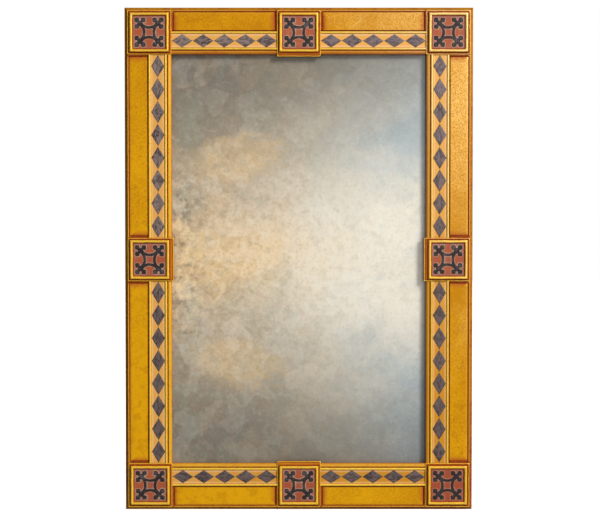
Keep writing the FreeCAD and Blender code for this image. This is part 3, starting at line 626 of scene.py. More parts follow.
def bumper_rubber(look, name):
    """Make dusty rubber."""
    finish = Finish(name)
    dust = finish.clouds(300.0, 4.0, 0.65)
    shade = (dust.rise(0.5, 0.8) * 0.3).mix(look.rubber, look.slate)
    finish.feed(Base_Color=shade, Roughness=0.66 + dust * 0.16)
    finish.roughen(dust, 0.0003, 0.4)
    return finish.material


def clamp(value, low=0.0, high=1.0):
    """Keep a value within its limits."""
    return max(low, min(high, value))


def extent(points):
    """Return the lowest and highest corners of the box round some points."""
    low = Vector(min(values) for values in zip(*points))
    high = Vector(max(values) for values in zip(*points))
    return low, high


def side_turn(side):
    """Return the turn about Y from the top side to this side."""
    return Matrix.Rotation(math.radians(SIDE_TURNS[side]), 4, "Y")


def runs(kind):
    """Go through the runs between the blocks that a kind of CAD node fills.

    Each is its side, the tail of its names, its node, and the node's corners as if its side were the top.
    """
    for side, ends in SIDE_RUNS.items():
        back = side_turn(side).inverted()
        for end in ends:
            tail = "%s_%s" % (side, end)
            low, high = extent([back @ Vector(corner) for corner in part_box(kind + tail)])
            yield side, tail, kind + tail, low, high


def wavered(point, amount, scale=55.0):
    """Shift a point a little, as a hand-worked edge wanders, with a number of bends to the metre."""
    return Vector(point) + amount * noise.noise_vector(Vector(point) * scale + Vector((SEED, 0, 0)))


def outline(corners, steps):
    """List the points of a closed outline, each of its sides in equal steps."""
    points = []
    for (x, z), (next_x, next_z) in zip(corners, corners[1:] + corners[:1]):
        for step in range(steps):
            part = step / steps
            points.append((x + (next_x - x) * part, z + (next_z - z) * part))
    return points


def ring_faces(rings, count):
    """List the faces between neighbouring rings of points, each ring of the same count."""
    faces = []
    for outer in range(0, (rings - 1) * count, count):
        inner = outer + count
        for index in range(count):
            following = (index + 1) % count
            faces.append((outer + index, outer + following, inner + following, inner + index))
    return faces


def plain_mesh(name, points, faces=(), marks=None, edges=()):
    """Make a mesh from its points with their faces or edges, and with named values on the points."""
    mesh = bpy.data.meshes.new(name)
    mesh.from_pydata([tuple(point) for point in points], edges, faces)
    for mark, values in (marks or {}).items():
        mesh.attributes.new(mark, "FLOAT", "POINT").data.foreach_set("value", values)
    return mesh


def loop_object(name, points, marks=None):
    """Make an object with a closed line of points, which only a geometry tree uses."""
    edges = [(index, (index + 1) % len(points)) for index in range(len(points))]
    return bpy.data.objects.new(name, plain_mesh(name, points, marks=marks, edges=edges))


def dress(name, mesh, material, node, body=ROOT):
    """Put a finished mesh into the scene as a piece that stands for a CAD node."""
    mesh.materials.clear()
    mesh.materials.append(material)
    mesh.shade_smooth()
    mesh.set_sharp_from_angle(angle=CREASE)
    piece = bpy.data.objects.new(name, mesh)
    bpy.context.scene.collection.objects.link(piece)
    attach(piece, body)
    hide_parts(node)


def coat(node, material):
    """Give a CAD node its finish."""
    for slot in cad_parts[node].material_slots:
        slot.link = "OBJECT"
        slot.material = material


def node_group(name, inputs):
    """Start a geometry tree with named inputs, and return it with a wire for each input."""
    tree = bpy.data.node_groups.new(name, "GeometryNodeTree")
    tree.interface.new_socket("Geometry", in_out="OUTPUT", socket_type="NodeSocketGeometry")
    for title, kind in inputs.items():
        tree.interface.new_socket(title, in_out="INPUT", socket_type="NodeSocket" + kind)
    source = tree.nodes.new("NodeGroupInput")
    wires = {title: Wire(tree, source.outputs[title]) for title in inputs}
    return tree, wires


def end_group(tree, geometry, material):
    """Close a geometry tree: instances made real, and the material set."""
    real = Wire.node(tree, "GeometryNodeRealizeInstances", None, {"Geometry": geometry})
    done = Wire.node(tree, "GeometryNodeSetMaterial", None, {"Geometry": real, "Material": material})
    sink = tree.nodes.new("NodeGroupOutput")
    Wire.plug(sink.inputs["Geometry"], done)


def set_copies(points, fitting, low, high, seed):
    """Set a copy of a fitting on each point, turned by chance between two limits."""
    inputs = {0: low, 1: high, "Seed": seed}
    turn = Wire.node(points.tree, "FunctionNodeRandomValue", {"data_type": "FLOAT_VECTOR"}, inputs)
    inputs = {"Points": points, "Instance": fitting.shape(), "Rotation": turn}
    return Wire.node(points.tree, "GeometryNodeInstanceOnPoints", None, inputs)


def grow(tree, name, values):
    """Run a geometry tree with these values of its inputs and return its mesh.

    The objects among the values have no other use, so they are removed.
    """
    host = bpy.data.objects.new(name, bpy.data.meshes.new(name))
    bpy.context.scene.collection.objects.link(host)
    modifier = host.modifiers.new(name, "NODES")
    modifier.node_group = tree
    for item in tree.interface.items_tree:
        if item.in_out == "INPUT":
            modifier[item.identifier] = values[item.name]
    host.update_tag()
    graph = bpy.context.evaluated_depsgraph_get()
    mesh = bpy.data.meshes.new_from_object(host.evaluated_get(graph))
    if not mesh.polygons:
        raise RuntimeError("%s came out empty" % name)
    host.modifiers.clear()
    helpers = [value for value in values.values() if isinstance(value, bpy.types.Object)]
    for used in (host, *helpers):
        bpy.data.objects.remove(used)
    return mesh


def round_bead(start, width, spring, rise, hollow, steps=10):
    """Return the points of a half-round bead: distance, depth, hollow and crest."""
    points = []
    for index in range(steps + 1):
        angle = math.pi * index / steps
        lift = math.sin(angle)
        across = start + width * (1 - math.cos(angle)) / 2
        points.append((across, spring + rise * lift, hollow * (1 - lift) ** 2, lift**2))
    return points


# Height of a field's rim above its face, and the spacing and number of the face's points each way.
RIM_STAND = 0.0015
FIELD_STEP = 0.006
FIELD_ROWS = 8
# Darkening of a face's first rows, beside the inlaid moulding.
FIELD_EDGE_DARKENING = (0.5, 0.16)


def field_profile(sizes, base, crown):
    """Return the rim and edge of a field from outside inwards: inset, depth, hollow and crest."""
    spring = crown - sizes.rim_width / 2
    face = crown - RIM_STAND
    floor = face - sizes.rim_quirk_drop
    quirk_end = sizes.rim_width + sizes.rim_quirk
    ease = sizes.field_ease
    points = [(0.0, base, 1.0, 0.0)]
    for across, depth, hollow, crest in round_bead(0.0, sizes.rim_width, spring, crown - spring, 1.0):
        points.append((across, depth, 0.45 + 0.55 * hollow, crest**2 * 0.5))
    points += [
        (sizes.rim_width, floor, 1.0, 0.0),
        (quirk_end, floor, 1.0, 0.0),
        (quirk_end, face - ease, 0.75, 0.0),
        (quirk_end + ease * 0.3, face - ease * 0.3, 0.45, 0.15),
        (quirk_end + ease, face, 0.36, 0.1),
        (quirk_end + sizes.field_shade * 0.4, face, 0.26, 0.0),
        (quirk_end + sizes.field_shade, face, 0.10, 0.0),
    ]
    return points


def shape_field(sizes, low, high):
    """Shape a gilded field: a rim round its outer side and ends, and a gently uneven face."""
    columns = max(24, round((high.x - low.x) / FIELD_STEP))
    profile = field_profile(sizes, -high.y, -low.y)
    points = []
    hollow = []
    crest = []
    strips = []

    def add(x, z, depth, shade, shine):
        points.append(wavered((x, -depth, z), sizes.waver * (0.6 if shine else 0.3)))
        hollow.append(shade)
        crest.append(shine)
        return len(points) - 1

    for inset, depth, shade, shine in profile:
        left, right, top = low.x + inset, high.x - inset, high.z - inset
        near = [(left, low.z + (top - low.z) * step / FIELD_ROWS) for step in range(FIELD_ROWS)]
        rail = [(left + (right - left) * step / columns, top) for step in range(columns)]
        far = [(right, top + (low.z - top) * step / FIELD_ROWS) for step in range(FIELD_ROWS + 1)]
        # Where a field ends at a block it is darker: glaze gathered there, and the block's shadow is
        # painted in.
        end_shade = min(1.0, shade * 1.3 + 0.18)
        strip = [add(x, z, depth, end_shade, shine * 0.4) for x, z in near]
        strip += [add(x, z, depth, shade, shine) for x, z in rail]
        strips.append(strip + [add(x, z, depth, end_shade, shine * 0.4) for x, z in far])
    faces = []
    for outer, inner in zip(strips, strips[1:]):
        for index in range(len(outer) - 1):
            faces.append((outer[index], outer[index + 1], inner[index + 1], inner[index]))

    inset, depth = profile[-1][:2]
    edge = strips[-1]
    rows = []
    for row in range(FIELD_ROWS):
        darkened = FIELD_EDGE_DARKENING[row] if row < len(FIELD_EDGE_DARKENING) else 0.0
        line = [edge[row]]
        for column in range(1, columns):
            x = low.x + inset + (high.x - low.x - 2 * inset) * column / columns
            z = low.z + (high.z - inset - low.z) * row / FIELD_ROWS
            line.append(add(x, z, depth, darkened, 0.0))
        rows.append(line + [edge[-1 - row]])
    rows.append(edge[FIELD_ROWS : FIELD_ROWS + columns + 1])
    for lower, upper in zip(rows, rows[1:]):
        for index in range(columns):
            faces.append((lower[index], upper[index], upper[index + 1], lower[index + 1]))
    inner_side = [strip[0] for strip in strips] + rows[0][1:-1] + [strip[-1] for strip in reversed(strips)]
    faces.append(tuple(inner_side))
    faces.append(tuple(reversed(strips[0])))
    return points, faces, {"hollow": hollow, "crest": crest}


# Values that a moulding's profile carries, and the spacing of the points along the moulding.
STRIP_MARKS = ("hollow", "crest", "ground", "margin")
STRIP_STEP = 0.005
# Share of the ground that the beads cover at each side, and the easing of the ovolo's upper edge.
GROUND_INSET = 0.02
SIGHT_EASE_DROP = 0.0005
SIGHT_EASE_WIDTH = 0.0004


def strip_profile(sizes, start, base, ground, glaze_and_shade):
    """Return the inlaid moulding from outside inwards: distance, depth, and the values of STRIP_MARKS."""
    bead = sizes.bead_width
    strip = start + bead
    far = strip + sizes.strip_width
    end = far + bead
    sight = end + sizes.sight_quirk
    quirk = ground - sizes.sight_quirk_drop
    top = ground + sizes.sight_rise
    shoulder = sight + sizes.sight_flat
    nose = sight + sizes.sight_width
    points = [(start, base, 1.0, 0.0, 0.0, 0.0)]
    points += [(*point, 0.0, 1.0) for point in round_bead(start, bead, ground, sizes.bead_rise, 0.8)]
    across = 12
    for index in range(across + 1):
        share = index / across
        margin = abs(2 * share - 1)
        distance = strip + (GROUND_INSET + (1 - 2 * GROUND_INSET) * share) * sizes.strip_width
        points.append((distance, ground, 0.35 * margin**12, 0.0, 1.0, margin))
    points += [(*point, 0.0, 1.0) for point in round_bead(far, bead, ground, sizes.bead_rise, 0.8)]
    points += [
        (end, quirk, 1.0, 0.0, 0.0, 0.0),
        (sight, quirk, 1.0, 0.0, 0.0, 0.0),
        (sight, top - SIGHT_EASE_DROP, 0.5, 0.2, 0.0, 0.0),
        (sight + SIGHT_EASE_WIDTH, top, 0.25, 0.6, 0.0, 0.0),
    ]
    ovolo = 8
    for index in range(ovolo + 1):
        angle = math.pi / 2 * index / ovolo
        distance = shoulder + (nose - shoulder) * math.sin(angle)
        depth = ground - sizes.sight_nose + (top - ground + sizes.sight_nose) * math.cos(angle)
        # The ovolo's glaze, with the painted shade of its side added.
        hollow = 0.38 + glaze_and_shade + 0.18 * index / ovolo
        points.append((distance, depth, hollow, 0.45 * math.cos(angle), 0.0, 0.0))
    points.append((nose, base, 0.8, 0.0, 0.0, 0.0))
    return points


def profile_object(profile):
    """Make a moulding's closed profile, as depth and distance, that a sweep can follow with its values."""
    distances, depths, *values = zip(*profile)
    points = [(depth, distance, 0.0) for distance, depth in zip(distances, depths)]
    return loop_object("strip_profile", points, dict(zip(STRIP_MARKS, values)))


def swept_run_tree():
    """Build the tree that sweeps a profile along a straight run and makes it gently uneven."""
    inputs = {"Profile": "Object", "Start": "Vector", "End": "Vector", "Stations": "Int"}
    tree, wires = node_group("Swept run", {**inputs, "Waver": "Float", "Material": "Material"})
    inputs = {"Start": wires["Start"], "End": wires["End"]}
    line = Wire.node(tree, "GeometryNodeCurvePrimitiveLine", None, inputs)
    path = Wire.node(tree, "GeometryNodeResampleCurve", None, {"Curve": line, "Count": wires["Stations"]})
    inputs = {"Curve": path, "Profile Curve": wires["Profile"].line(), "Fill Caps": True}
    sweep = Wire.node(tree, "GeometryNodeCurveToMesh", None, inputs)
    place = Wire.node(tree, "GeometryNodeInputPosition")
    inputs = {"Vector": place, "W": float(SEED), "Scale": 60.0, "Detail": 2.0}
    wander = Wire.node(tree, "ShaderNodeTexNoise", {"noise_dimensions": "4D"}, inputs, "Color")
    centred = wander.vector_maths("SUBTRACT", {1: (0.5, 0.5, 0.5)})
    shift = centred.vector_maths("SCALE", {"Scale": wires["Waver"]})
    # The ends stay where they butt against the blocks.
    shift = shift.vector_maths("MULTIPLY", {1: (0.0, 1.0, 1.0)})
    uneven = Wire.node(tree, "GeometryNodeSetPosition", None, {"Geometry": sweep, "Offset": shift})
    end_group(tree, uneven, wires["Material"])
    return tree


# Points along each side of a lozenge, and how far and how closely its edges wander.
LOZENGE_STEPS = 6
LOZENGE_WAVER = 0.00018
LOZENGE_BENDS = 160.0


def lozenge_mesh(half_length, half_width, bottom, ground, crown):
    """Make one lozenge about its own middle, crowned and eased, with a value that rises to its edge."""
    # Each ring is its share of the full size, its depth and its value.
    rings = (
        (1.0, bottom, 1.0),
        (1.0, ground, 1.0),
        (0.955, ground + crown * 0.7, 0.85),
        (0.85, ground + crown, 0.35),
        (0.45, ground + crown, 0.1),
    )
    tips = [(-half_length, 0.0), (0.0, half_width), (half_length, 0.0), (0.0, -half_width)]
    sides = outline(tips, LOZENGE_STEPS)
    points = []
    edge = []
    for share, depth, mark in rings:
        for x, z in sides:
            points.append(wavered((x * share, -depth, z * share), LOZENGE_WAVER, LOZENGE_BENDS))
            edge.append(mark)
    count = len(sides)
    last = len(points) - count
    top = len(points)
    points.append(Vector((0.0, -(ground + crown), 0.0)))
    edge.append(0.0)
    faces = ring_faces(len(rings), count)
    faces += [(last + index, last + (index + 1) % count, top) for index in range(count)]
    faces.append(tuple(reversed(range(count))))
    return plain_mesh("lozenge", points, faces, {"edge": edge})


def inlay_row_tree():
    """Build the tree that sets a row of lozenges, each with its own slight tilt and tone."""
    inputs = {"Lozenge": "Object", "First": "Vector", "Pitch": "Vector", "Count": "Int"}
    inputs = {**inputs, "Tilt": "Vector", "Seed": "Int", "Material": "Material"}
    tree, wires = node_group("Inlay row", inputs)
    inputs = {"Count": wires["Count"], "Start Location": wires["First"], "Offset": wires["Pitch"]}
    row = Wire.node(tree, "GeometryNodeMeshLine", None, inputs)
    least = wires["Tilt"].vector_maths("SCALE", {"Scale": -1.0})
    placed = set_copies(row, wires["Lozenge"], least, wires["Tilt"], wires["Seed"])
    tone = Wire.node(tree, "FunctionNodeRandomValue", {"data_type": "FLOAT"}, {"Seed": wires["Seed"]}, 1)
    settings = {"data_type": "FLOAT", "domain": "INSTANCE"}
    inputs = {"Geometry": placed, "Name": "tone", "Value": tone}
    darkened = Wire.node(tree, "GeometryNodeStoreNamedAttribute", settings, inputs)
    end_group(tree, darkened, wires["Material"])
    return tree


# Height of a block's ring above its plinth, rise of the lip's bead, and points along each side of a block.
RING_STAND = 0.005
LIP_RISE = 0.0012
BLOCK_STEPS = 20
# Spread of a groove towards its top, step below the ring's inner edge, and play round a tile.
QUIRK_FLARE = 0.0004
RECESS_STEP = 0.0002
TILE_PLAY = 0.00015


def block_loops(sizes, low, high, centre, tile_half, tile_face, tile_back):
    """List a block's square loops from the base of its plinth to the seat of its tile.

    Each loop is its left, right, lower and upper sides, its depth, and its hollow and crest values.
    """
    loops = []

    def plinth(inset, depth, hollow, crest):
        loops.append((low.x + inset, high.x - inset, low.z + inset, high.z - inset, depth, hollow, crest))

    def ring(half, depth, hollow, crest):
        sides = (centre.x - half, centre.x + half, centre.z - half, centre.z + half)
        loops.append((*sides, depth, hollow, crest))

    crown = -low.y
    face = crown - RING_STAND
    edge = face - sizes.plinth_slope
    floor = edge - sizes.quirk_drop
    lip_end = sizes.lip_width + sizes.lip_quirk
    plinth(0.0, -high.y, 1.0, 0.0)
    lip = round_bead(0.0, sizes.lip_width, edge - LIP_RISE, LIP_RISE, 0.55, 6)
    for across, depth, hollow, crest in lip:
        plinth(across, depth, hollow, crest * 0.7)
    plinth(sizes.lip_width, floor, 0.9, 0.0)
    plinth(lip_end, floor, 0.9, 0.0)
    # The plinth's face is darkened: glaze, with the ring's shadow painted in.
    plinth(lip_end + QUIRK_FLARE, edge, 0.58, 0.0)
    outer = sizes.ring_half
    quirk_end = outer + sizes.ring_quirk
    floor = face - sizes.quirk_drop
    ring(quirk_end + QUIRK_FLARE, face, 0.72, 0.0)
    ring(quirk_end, floor, 1.0, 0.0)
    ring(outer, floor, 1.0, 0.0)
    roundness = sizes.ring_roundness
    spring = crown - roundness
    for across, depth, hollow, crest in round_bead(0.0, sizes.ring_width, spring, roundness, 0.6):
        ring(outer - across, depth, hollow, crest**2)
    ring(outer - sizes.ring_width - RECESS_STEP, spring - 2 * RECESS_STEP, 0.9, 0.0)
    seat = tile_half + TILE_PLAY
    ring(seat, tile_face, 0.8, 0.0)
    ring(seat, tile_back, 1.0, 0.0)
    return loops


def shape_block(loops, waver):
    """Shape a block from its square loops, with wandering edges."""
    points = []
    hollow = []
    crest = []
    for left, right, lower, upper, depth, shade, shine in loops:
        corners = [(left, lower), (left, upper), (right, upper), (right, lower)]
        for x, z in outline(corners, BLOCK_STEPS):
            points.append(wavered((x, -depth, z), waver if shine else waver * 0.4))
            hollow.append(shade)
            crest.append(shine)
    count = 4 * BLOCK_STEPS
    faces = ring_faces(len(loops), count)
    faces.append(tuple(range(len(points) - count, len(points))))
    faces.append(tuple(reversed(range(count))))
    return points, faces, {"hollow": hollow, "crest": crest}


# A lobe is a circle at 2 and nears a square as this grows.
LOBE_SQUARENESS = 3.6
# Gaps count as no larger than this, so that the sum that blends them stays above 0.
FARTHEST_GAP = 0.05
# Soft edges of the painted ground and of the small square in its middle.
GROUND_SOFTNESS = 0.002
SQUARE_SOFTNESS = 0.001
# The chisel's wander and the roughness it leaves: spots to the metre, and how far.
CARVING_WANDER = (180.0, 0.0005)
CARVING_ROUGHNESS = (420.0, 0.00006)
# Moves each tile to its own part of that wander.
CARVING_SPREAD = 40.0
# Largest gap value, either way, that the paint reads.
GAP_LIMIT = 6.0


def lobe_gap(u, v, radius):
    """Return how far a point lies outside a lobe, which is a square with well rounded corners."""
    return (abs(u) ** LOBE_SQUARENESS + abs(v) ** LOBE_SQUARENESS) ** (1 / LOBE_SQUARENESS) - radius


def rosette_gap(sizes, u, v):
    """Return how far a point of a tile lies outside the rosette, whose forms run together."""
    u, v = abs(u), abs(v)
    gaps = [math.hypot(u - sizes.knot_reach, v - sizes.knot_reach) - sizes.knot_radius]
    gaps.append(lobe_gap(u - sizes.tip_reach, v - sizes.tip_reach, sizes.lobe_radius))
    along = clamp((u + v) / 2, sizes.knot_reach, sizes.tip_reach)
    gaps.append(math.hypot(u - along, v - along) - sizes.stem_width / 2)
    for near, far in ((u, v), (v, u)):
        centre = sizes.bar_reach + sizes.bar_radius
        bar = abs(math.hypot(near, far - centre) - sizes.bar_radius) - sizes.bar_width / 2
        gaps.append(max(bar, near - sizes.knot_reach, far - sizes.knot_reach - sizes.bar_width))
        gaps.append(lobe_gap(near - sizes.lobe_near, far - sizes.lobe_far, sizes.lobe_radius))
    blend = sizes.blend
    return -blend * math.log(sum(math.exp(-min(gap, FARTHEST_GAP) / blend) for gap in gaps))


def tile_ground(sizes, half, u, v):
    """Return how strongly a point of a tile's ground is terracotta rather than the margin's mauve."""
    near, far = sorted((abs(u), abs(v)))
    if far < sizes.bar_reach:
        return clamp(0.5 + (sizes.centre_square - far) / SQUARE_SOFTNESS)
    inside = half - sizes.border - far
    wedge = sizes.lobe_near - sizes.lobe_radius * 0.6 - near
    return clamp(0.5 + min(inside, wedge) / GROUND_SOFTNESS)


def shape_tile(sizes, low, high):
    """Shape a carved tile: the rosette stands above its ground, with rounded edges.

    The gap value is in millimetres, negative inside the rosette.
    """
    half = (high.x - low.x) / 2 + sizes.lap
    middle = Vector(((low.x + high.x) / 2, 0.0, (low.z + high.z) / 2))
    face, back = -low.y, -high.y
    steps = round(2 * half / sizes.grid)
    bends, wander = CARVING_WANDER
    spots, roughness = CARVING_ROUGHNESS
    points = []
    gap = []
    bulb = []
    for row in range(steps + 1):
        for column in range(steps + 1):
            u = -half + 2 * half * column / steps
            v = -half + 2 * half * row / steps
            shift = noise.noise_vector(Vector((u, v, 0)) * bends + middle * CARVING_SPREAD) * wander
            outside = rosette_gap(sizes, u + shift.x, v + shift.y)
            lift = clamp(0.5 - outside / sizes.slope)
            lift = lift * lift * (3 - 2 * lift)
            rough = noise.noise(Vector((u, v, middle.x)) * spots) * roughness
            points.append(middle + Vector((u, -(face + sizes.relief * lift + rough), v)))
            gap.append(clamp(outside * 1000, -GAP_LIMIT, GAP_LIMIT))
            bulb.append(tile_ground(sizes, half, u, v))
    row_length = steps + 1
    faces = []
    for row in range(steps):
        for column in range(steps):
            corner = row * row_length + column
            faces.append((corner, corner + 1, corner + row_length + 1, corner + row_length))
    border = list(range(steps))
    border += [row * row_length + steps for row in range(steps)]
    border += [steps * row_length + column for column in range(steps, 0, -1)]
    border += [row * row_length for row in range(steps, 0, -1)]
    first = len(points)
    for index in border:
        points.append(Vector((points[index].x, -back, points[index].z)))
        gap.append(gap[index])
        bulb.append(0.0)
    for index, corner in enumerate(border):
        following = (index + 1) % len(border)
        faces.append((border[following], corner, first + index, first + following))
    faces.append(tuple(reversed(range(first, len(points)))))
    return points, faces, {"gap": gap, "bulb": bulb}


def islands(node):
    """Return the lowest and highest corners of each separate solid of a CAD node, from left to right."""
    work = bmesh.new()
    work.from_mesh(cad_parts[node].data)
    bmesh.ops.remove_doubles(work, verts=work.verts, dist=1e-6)
    reached = set()
    found = []
    for start in work.verts:
        if start in reached:
            continue
        queue = [start]
        reached.add(start)
        part = []
        while queue:
            vert = queue.pop()
            part.append(vert.co.copy())
            for edge in vert.link_edges:
                other = edge.other_vert(vert)
                if other not in reached:
                    reached.add(other)
                    queue.append(other)
        found.append(extent(part))
    work.free()
    return sorted(found, key=lambda box: (round(box[0].x, 4), round(box[0].z, 4)))


def turned_mesh(name, profile, segments=28):
    """Turn a profile of radius and depth about the Y axis."""
    points = []
    for radius, depth in profile:
        for index in range(segments):
            angle = math.tau * index / segments
            points.append((radius * math.cos(angle), -depth, radius * math.sin(angle)))
    faces = ring_faces(len(profile), segments)
    faces.append(tuple(reversed(range(segments))))
    faces.append(tuple(range(len(points) - segments, len(points))))
    mesh = plain_mesh(name, points, faces)
    work = bmesh.new()
    work.from_mesh(mesh)
    bmesh.ops.recalc_face_normals(work, faces=work.faces)
    work.to_mesh(mesh)
    work.free()
    return mesh


def scatter_tree():
    """Build the tree that sets a small fitting on points, each copy turned about its axis by chance."""
    inputs = {"Places": "Object", "Fitting": "Object", "Turn": "Vector", "Seed": "Int"}
    tree, wires = node_group("Fittings on points", {**inputs, "Material": "Material"})
    still = (0.0, 0.0, 0.0)
    placed = set_copies(wires["Places"].shape(), wires["Fitting"], still, wires["Turn"], wires["Seed"])
    end_group(tree, placed, wires["Material"])
    return tree


def scatter(name, places, fitting, material):
    """Return one mesh with a fitting at each place."""
    values = {
        "Places": bpy.data.objects.new(name + "_places", plain_mesh(name + "_places", places)),
        "Fitting": bpy.data.objects.new(name + "_fitting", fitting),
        "Turn": (0.0, math.tau, 0.0),
        "Seed": SEED,
        "Material": material,
    }
    return grow(scatter_tree(), name, values)


# Proportions of a screw to the radius of its head, and the small flat at its poles.
SCREW_HEIGHT = 0.6
SCREW_SHANK = 0.44
SCREW_FLAT = 0.0002
# A bumper's dimple and rounded edge.
BUMPER_FLAT = 0.003
BUMPER_DIMPLE = 0.0012
BUMPER_EASE = 0.001


def screw_mesh(sizes, radius, height, reach):
    """Make a slotted round-head screw whose head seats at depth 0 and whose shank points forward."""
    shank = radius * SCREW_SHANK
    steps = 6
    profile = []
    for index in range(steps + 1):
        angle = math.pi / 2 * index / steps
        profile.append((max(radius * math.sin(angle), SCREW_FLAT), -height * math.cos(angle)))
    profile += [(shank, 0.0), (shank, reach - 2 * shank), (SCREW_FLAT, reach)]
    screw = bpy.data.objects.new("screw", turned_mesh("screw", profile))
    slot = bpy.data.meshes.new("slot")
    work = bmesh.new()
    bmesh.ops.create_cube(work, size=1.0)
    bmesh.ops.scale(work, vec=(radius * 3, height, sizes.screw_slot), verts=work.verts)
    bmesh.ops.translate(work, vec=(0.0, height, 0.0), verts=work.verts)
    work.to_mesh(slot)
    work.free()
    cutter = bpy.data.objects.new("slot", slot)
    for helper in (screw, cutter):
        bpy.context.scene.collection.objects.link(helper)
    cut = screw.modifiers.new("slot", "BOOLEAN")
    cut.object = cutter
    cut.solver = "EXACT"
    graph = bpy.context.evaluated_depsgraph_get()
    slotted = bpy.data.meshes.new_from_object(screw.evaluated_get(graph))
    for helper in (screw, cutter):
        bpy.data.objects.remove(helper)
    return slotted


def bumper_mesh(low, high):
    """Make a round bumper with a dimple in its foot, to fill a box."""
    wide = (high.x - low.x) / 2
    thick = high.y - low.y
    profile = [(BUMPER_FLAT, BUMPER_DIMPLE), (wide * 0.32, BUMPER_DIMPLE), (wide * 0.36, 0.0)]
    profile += [(wide * 0.82, 0.0), (wide * 0.92, BUMPER_EASE), (wide, thick * 0.8), (wide, thick)]
    return turned_mesh("bumper", profile)


# Half of the floor's side, the bright side of the room, and the warm tint of the lamps.
FLOOR_REACH = 14.0
BRIGHT_SIDE = Vector((0.85, -0.45, 0.25)).normalized()
LAMP_TINT = (1.0, 0.965, 0.91)
# Side and place of each lamp.
KEY_LAMP = (1.8, (3.8, -4.6, 3.2))
WINDOW_LAMP = (0.6, (0.8, -2.6, 0.5))
SENSOR_WIDTH = 36.0


class StageOperator(bpy.types.Operator):
    """Set up the floor, the soft light and the camera"""

    bl_idname = "mirror.stage"
    bl_label = "Stage"

    def execute(self, context):
        stage = context.scene.mirror_stage
        self.make_floor(context, stage)
        self.make_light(context, stage)
        self.make_camera(context, stage)
        context.scene.view_settings.view_transform = "Standard"
        return {"FINISHED"}

    def make_floor(self, context, stage):
        """Lay the floor level with the foot of the mirror."""
        look = context.scene.mirror_colours
        corners = [(-1, -1), (1, -1), (1, 1), (-1, 1)]
        points = [(x * FLOOR_REACH, y * FLOOR_REACH, CAD_BOX[0].z) for x, y in corners]
        mesh = plain_mesh("studio_floor", points, [(0, 1, 2, 3)])
        finish = Finish("studio_floor")
        speckle = finish.clouds(40.0, 4.0)
        finish.feed(Base_Color=(speckle * 0.06).mix(look.floor, look.chalk), Roughness=0.7)
        finish.feed(Emission_Color=look.floor, Emission_Strength=stage.floor_glow)
        mesh.materials.append(finish.material)
        floor = bpy.data.objects.new("studio_floor", mesh)
        context.scene.collection.objects.link(floor)
        # The floor is seen, but its glow doesn't light the undersides of the frame.
        floor.visible_diffuse = False
        floor.visible_glossy = False

    def make_light(self, context, stage):
        """Light the room, brighter from one side and behind, and hang the lamps."""
        world = bpy.data.worlds.new("studio")
        world.use_nodes = True
        context.scene.world = world
        tree = world.node_tree
        seen = Wire.node(tree, "ShaderNodeLightPath", output="Is Camera Ray")
        direction = Wire.node(tree, "ShaderNodeTexCoord", output="Generated")
        lean = direction.vector_maths("DOT_PRODUCT", {1: BRIGHT_SIDE}, "Value")
        behind = Wire.node(tree, "ShaderNodeSeparateXYZ", None, {0: direction}, "Y").rise(0.25, 0.9)
        room = stage.fill_shade + lean.rise(-0.75, 0.95) * (stage.fill_light - stage.fill_shade)
        room = room + behind * stage.fill_behind
        background = tree.nodes["Background"]
        Wire.plug(background.inputs["Color"], (1.0, 1.0, 1.0, 1.0))
        Wire.plug(background.inputs["Strength"], room + seen * (1.0 - room))
        self.hang_lamp(context, "key", stage.key_power, *KEY_LAMP)
        self.hang_lamp(context, "window", stage.window_power, *WINDOW_LAMP)

    def hang_lamp(self, context, name, power, side, place):
        """Hang a square soft lamp that points at the middle of the mirror."""
        light = bpy.data.lights.new(name, "AREA")
        light.energy = power
        light.size = side
        light.color = LAMP_TINT
        lamp = bpy.data.objects.new(name, light)
        lamp.location = place
        lamp.rotation_euler = (-Vector(place)).to_track_quat("-Z", "Y").to_euler()
        context.scene.collection.objects.link(lamp)

    def make_camera(self, context, stage):
        """Set the camera at the photograph's viewing angle."""
        lens = bpy.data.cameras.new("photograph")
        lens.lens = stage.lens
        lens.sensor_width = SENSOR_WIDTH
        camera = bpy.data.objects.new("photograph", lens)
        middle = (CAD_BOX[0] + CAD_BOX[1]) / 2
        target = Vector((middle.x + stage.aim_x, CAD_BOX[0].y, middle.z + stage.aim_z))
        away = Vector((0.0, -math.cos(stage.elevation), math.sin(stage.elevation)))
        camera.location = target + away * stage.distance
        camera.rotation_euler = (-away).to_track_quat("-Z", "Y").to_euler()
        context.scene.collection.objects.link(camera)
        context.scene.camera = camera


class MembersOperator(bpy.types.Operator):
    """Finish the four members and their corner keys"""

    bl_idname = "mirror.members"
    bl_label = "Members"

    def execute(self, context):
        material = member_finish(context.scene.mirror_colours, "gilded_members")
        for node in ("top_rail", "bottom_rail", "left_stile", "right_stile", "corner_splines"):
            coat(node, material)
        return {"FINISHED"}


class FieldsOperator(bpy.types.Operator):
    """Make the gilded fields between the blocks"""

    bl_idname = "mirror.fields"
    bl_label = "Gilded fields"

    def execute(self, context):
        sizes = context.scene.mirror_mouldings
        material = gilding(context.scene.mirror_colours, "gilded_field")
        for side, tail, node, low, high in runs("field_panel_"):
            name = "gilt_field." + tail
            low.z -= sizes.field_lap
            mesh = plain_mesh(name, *shape_field(sizes, low, high))
            mesh.transform(side_turn(side))
            dress(name, mesh, material, node)
        return {"FINISHED"}


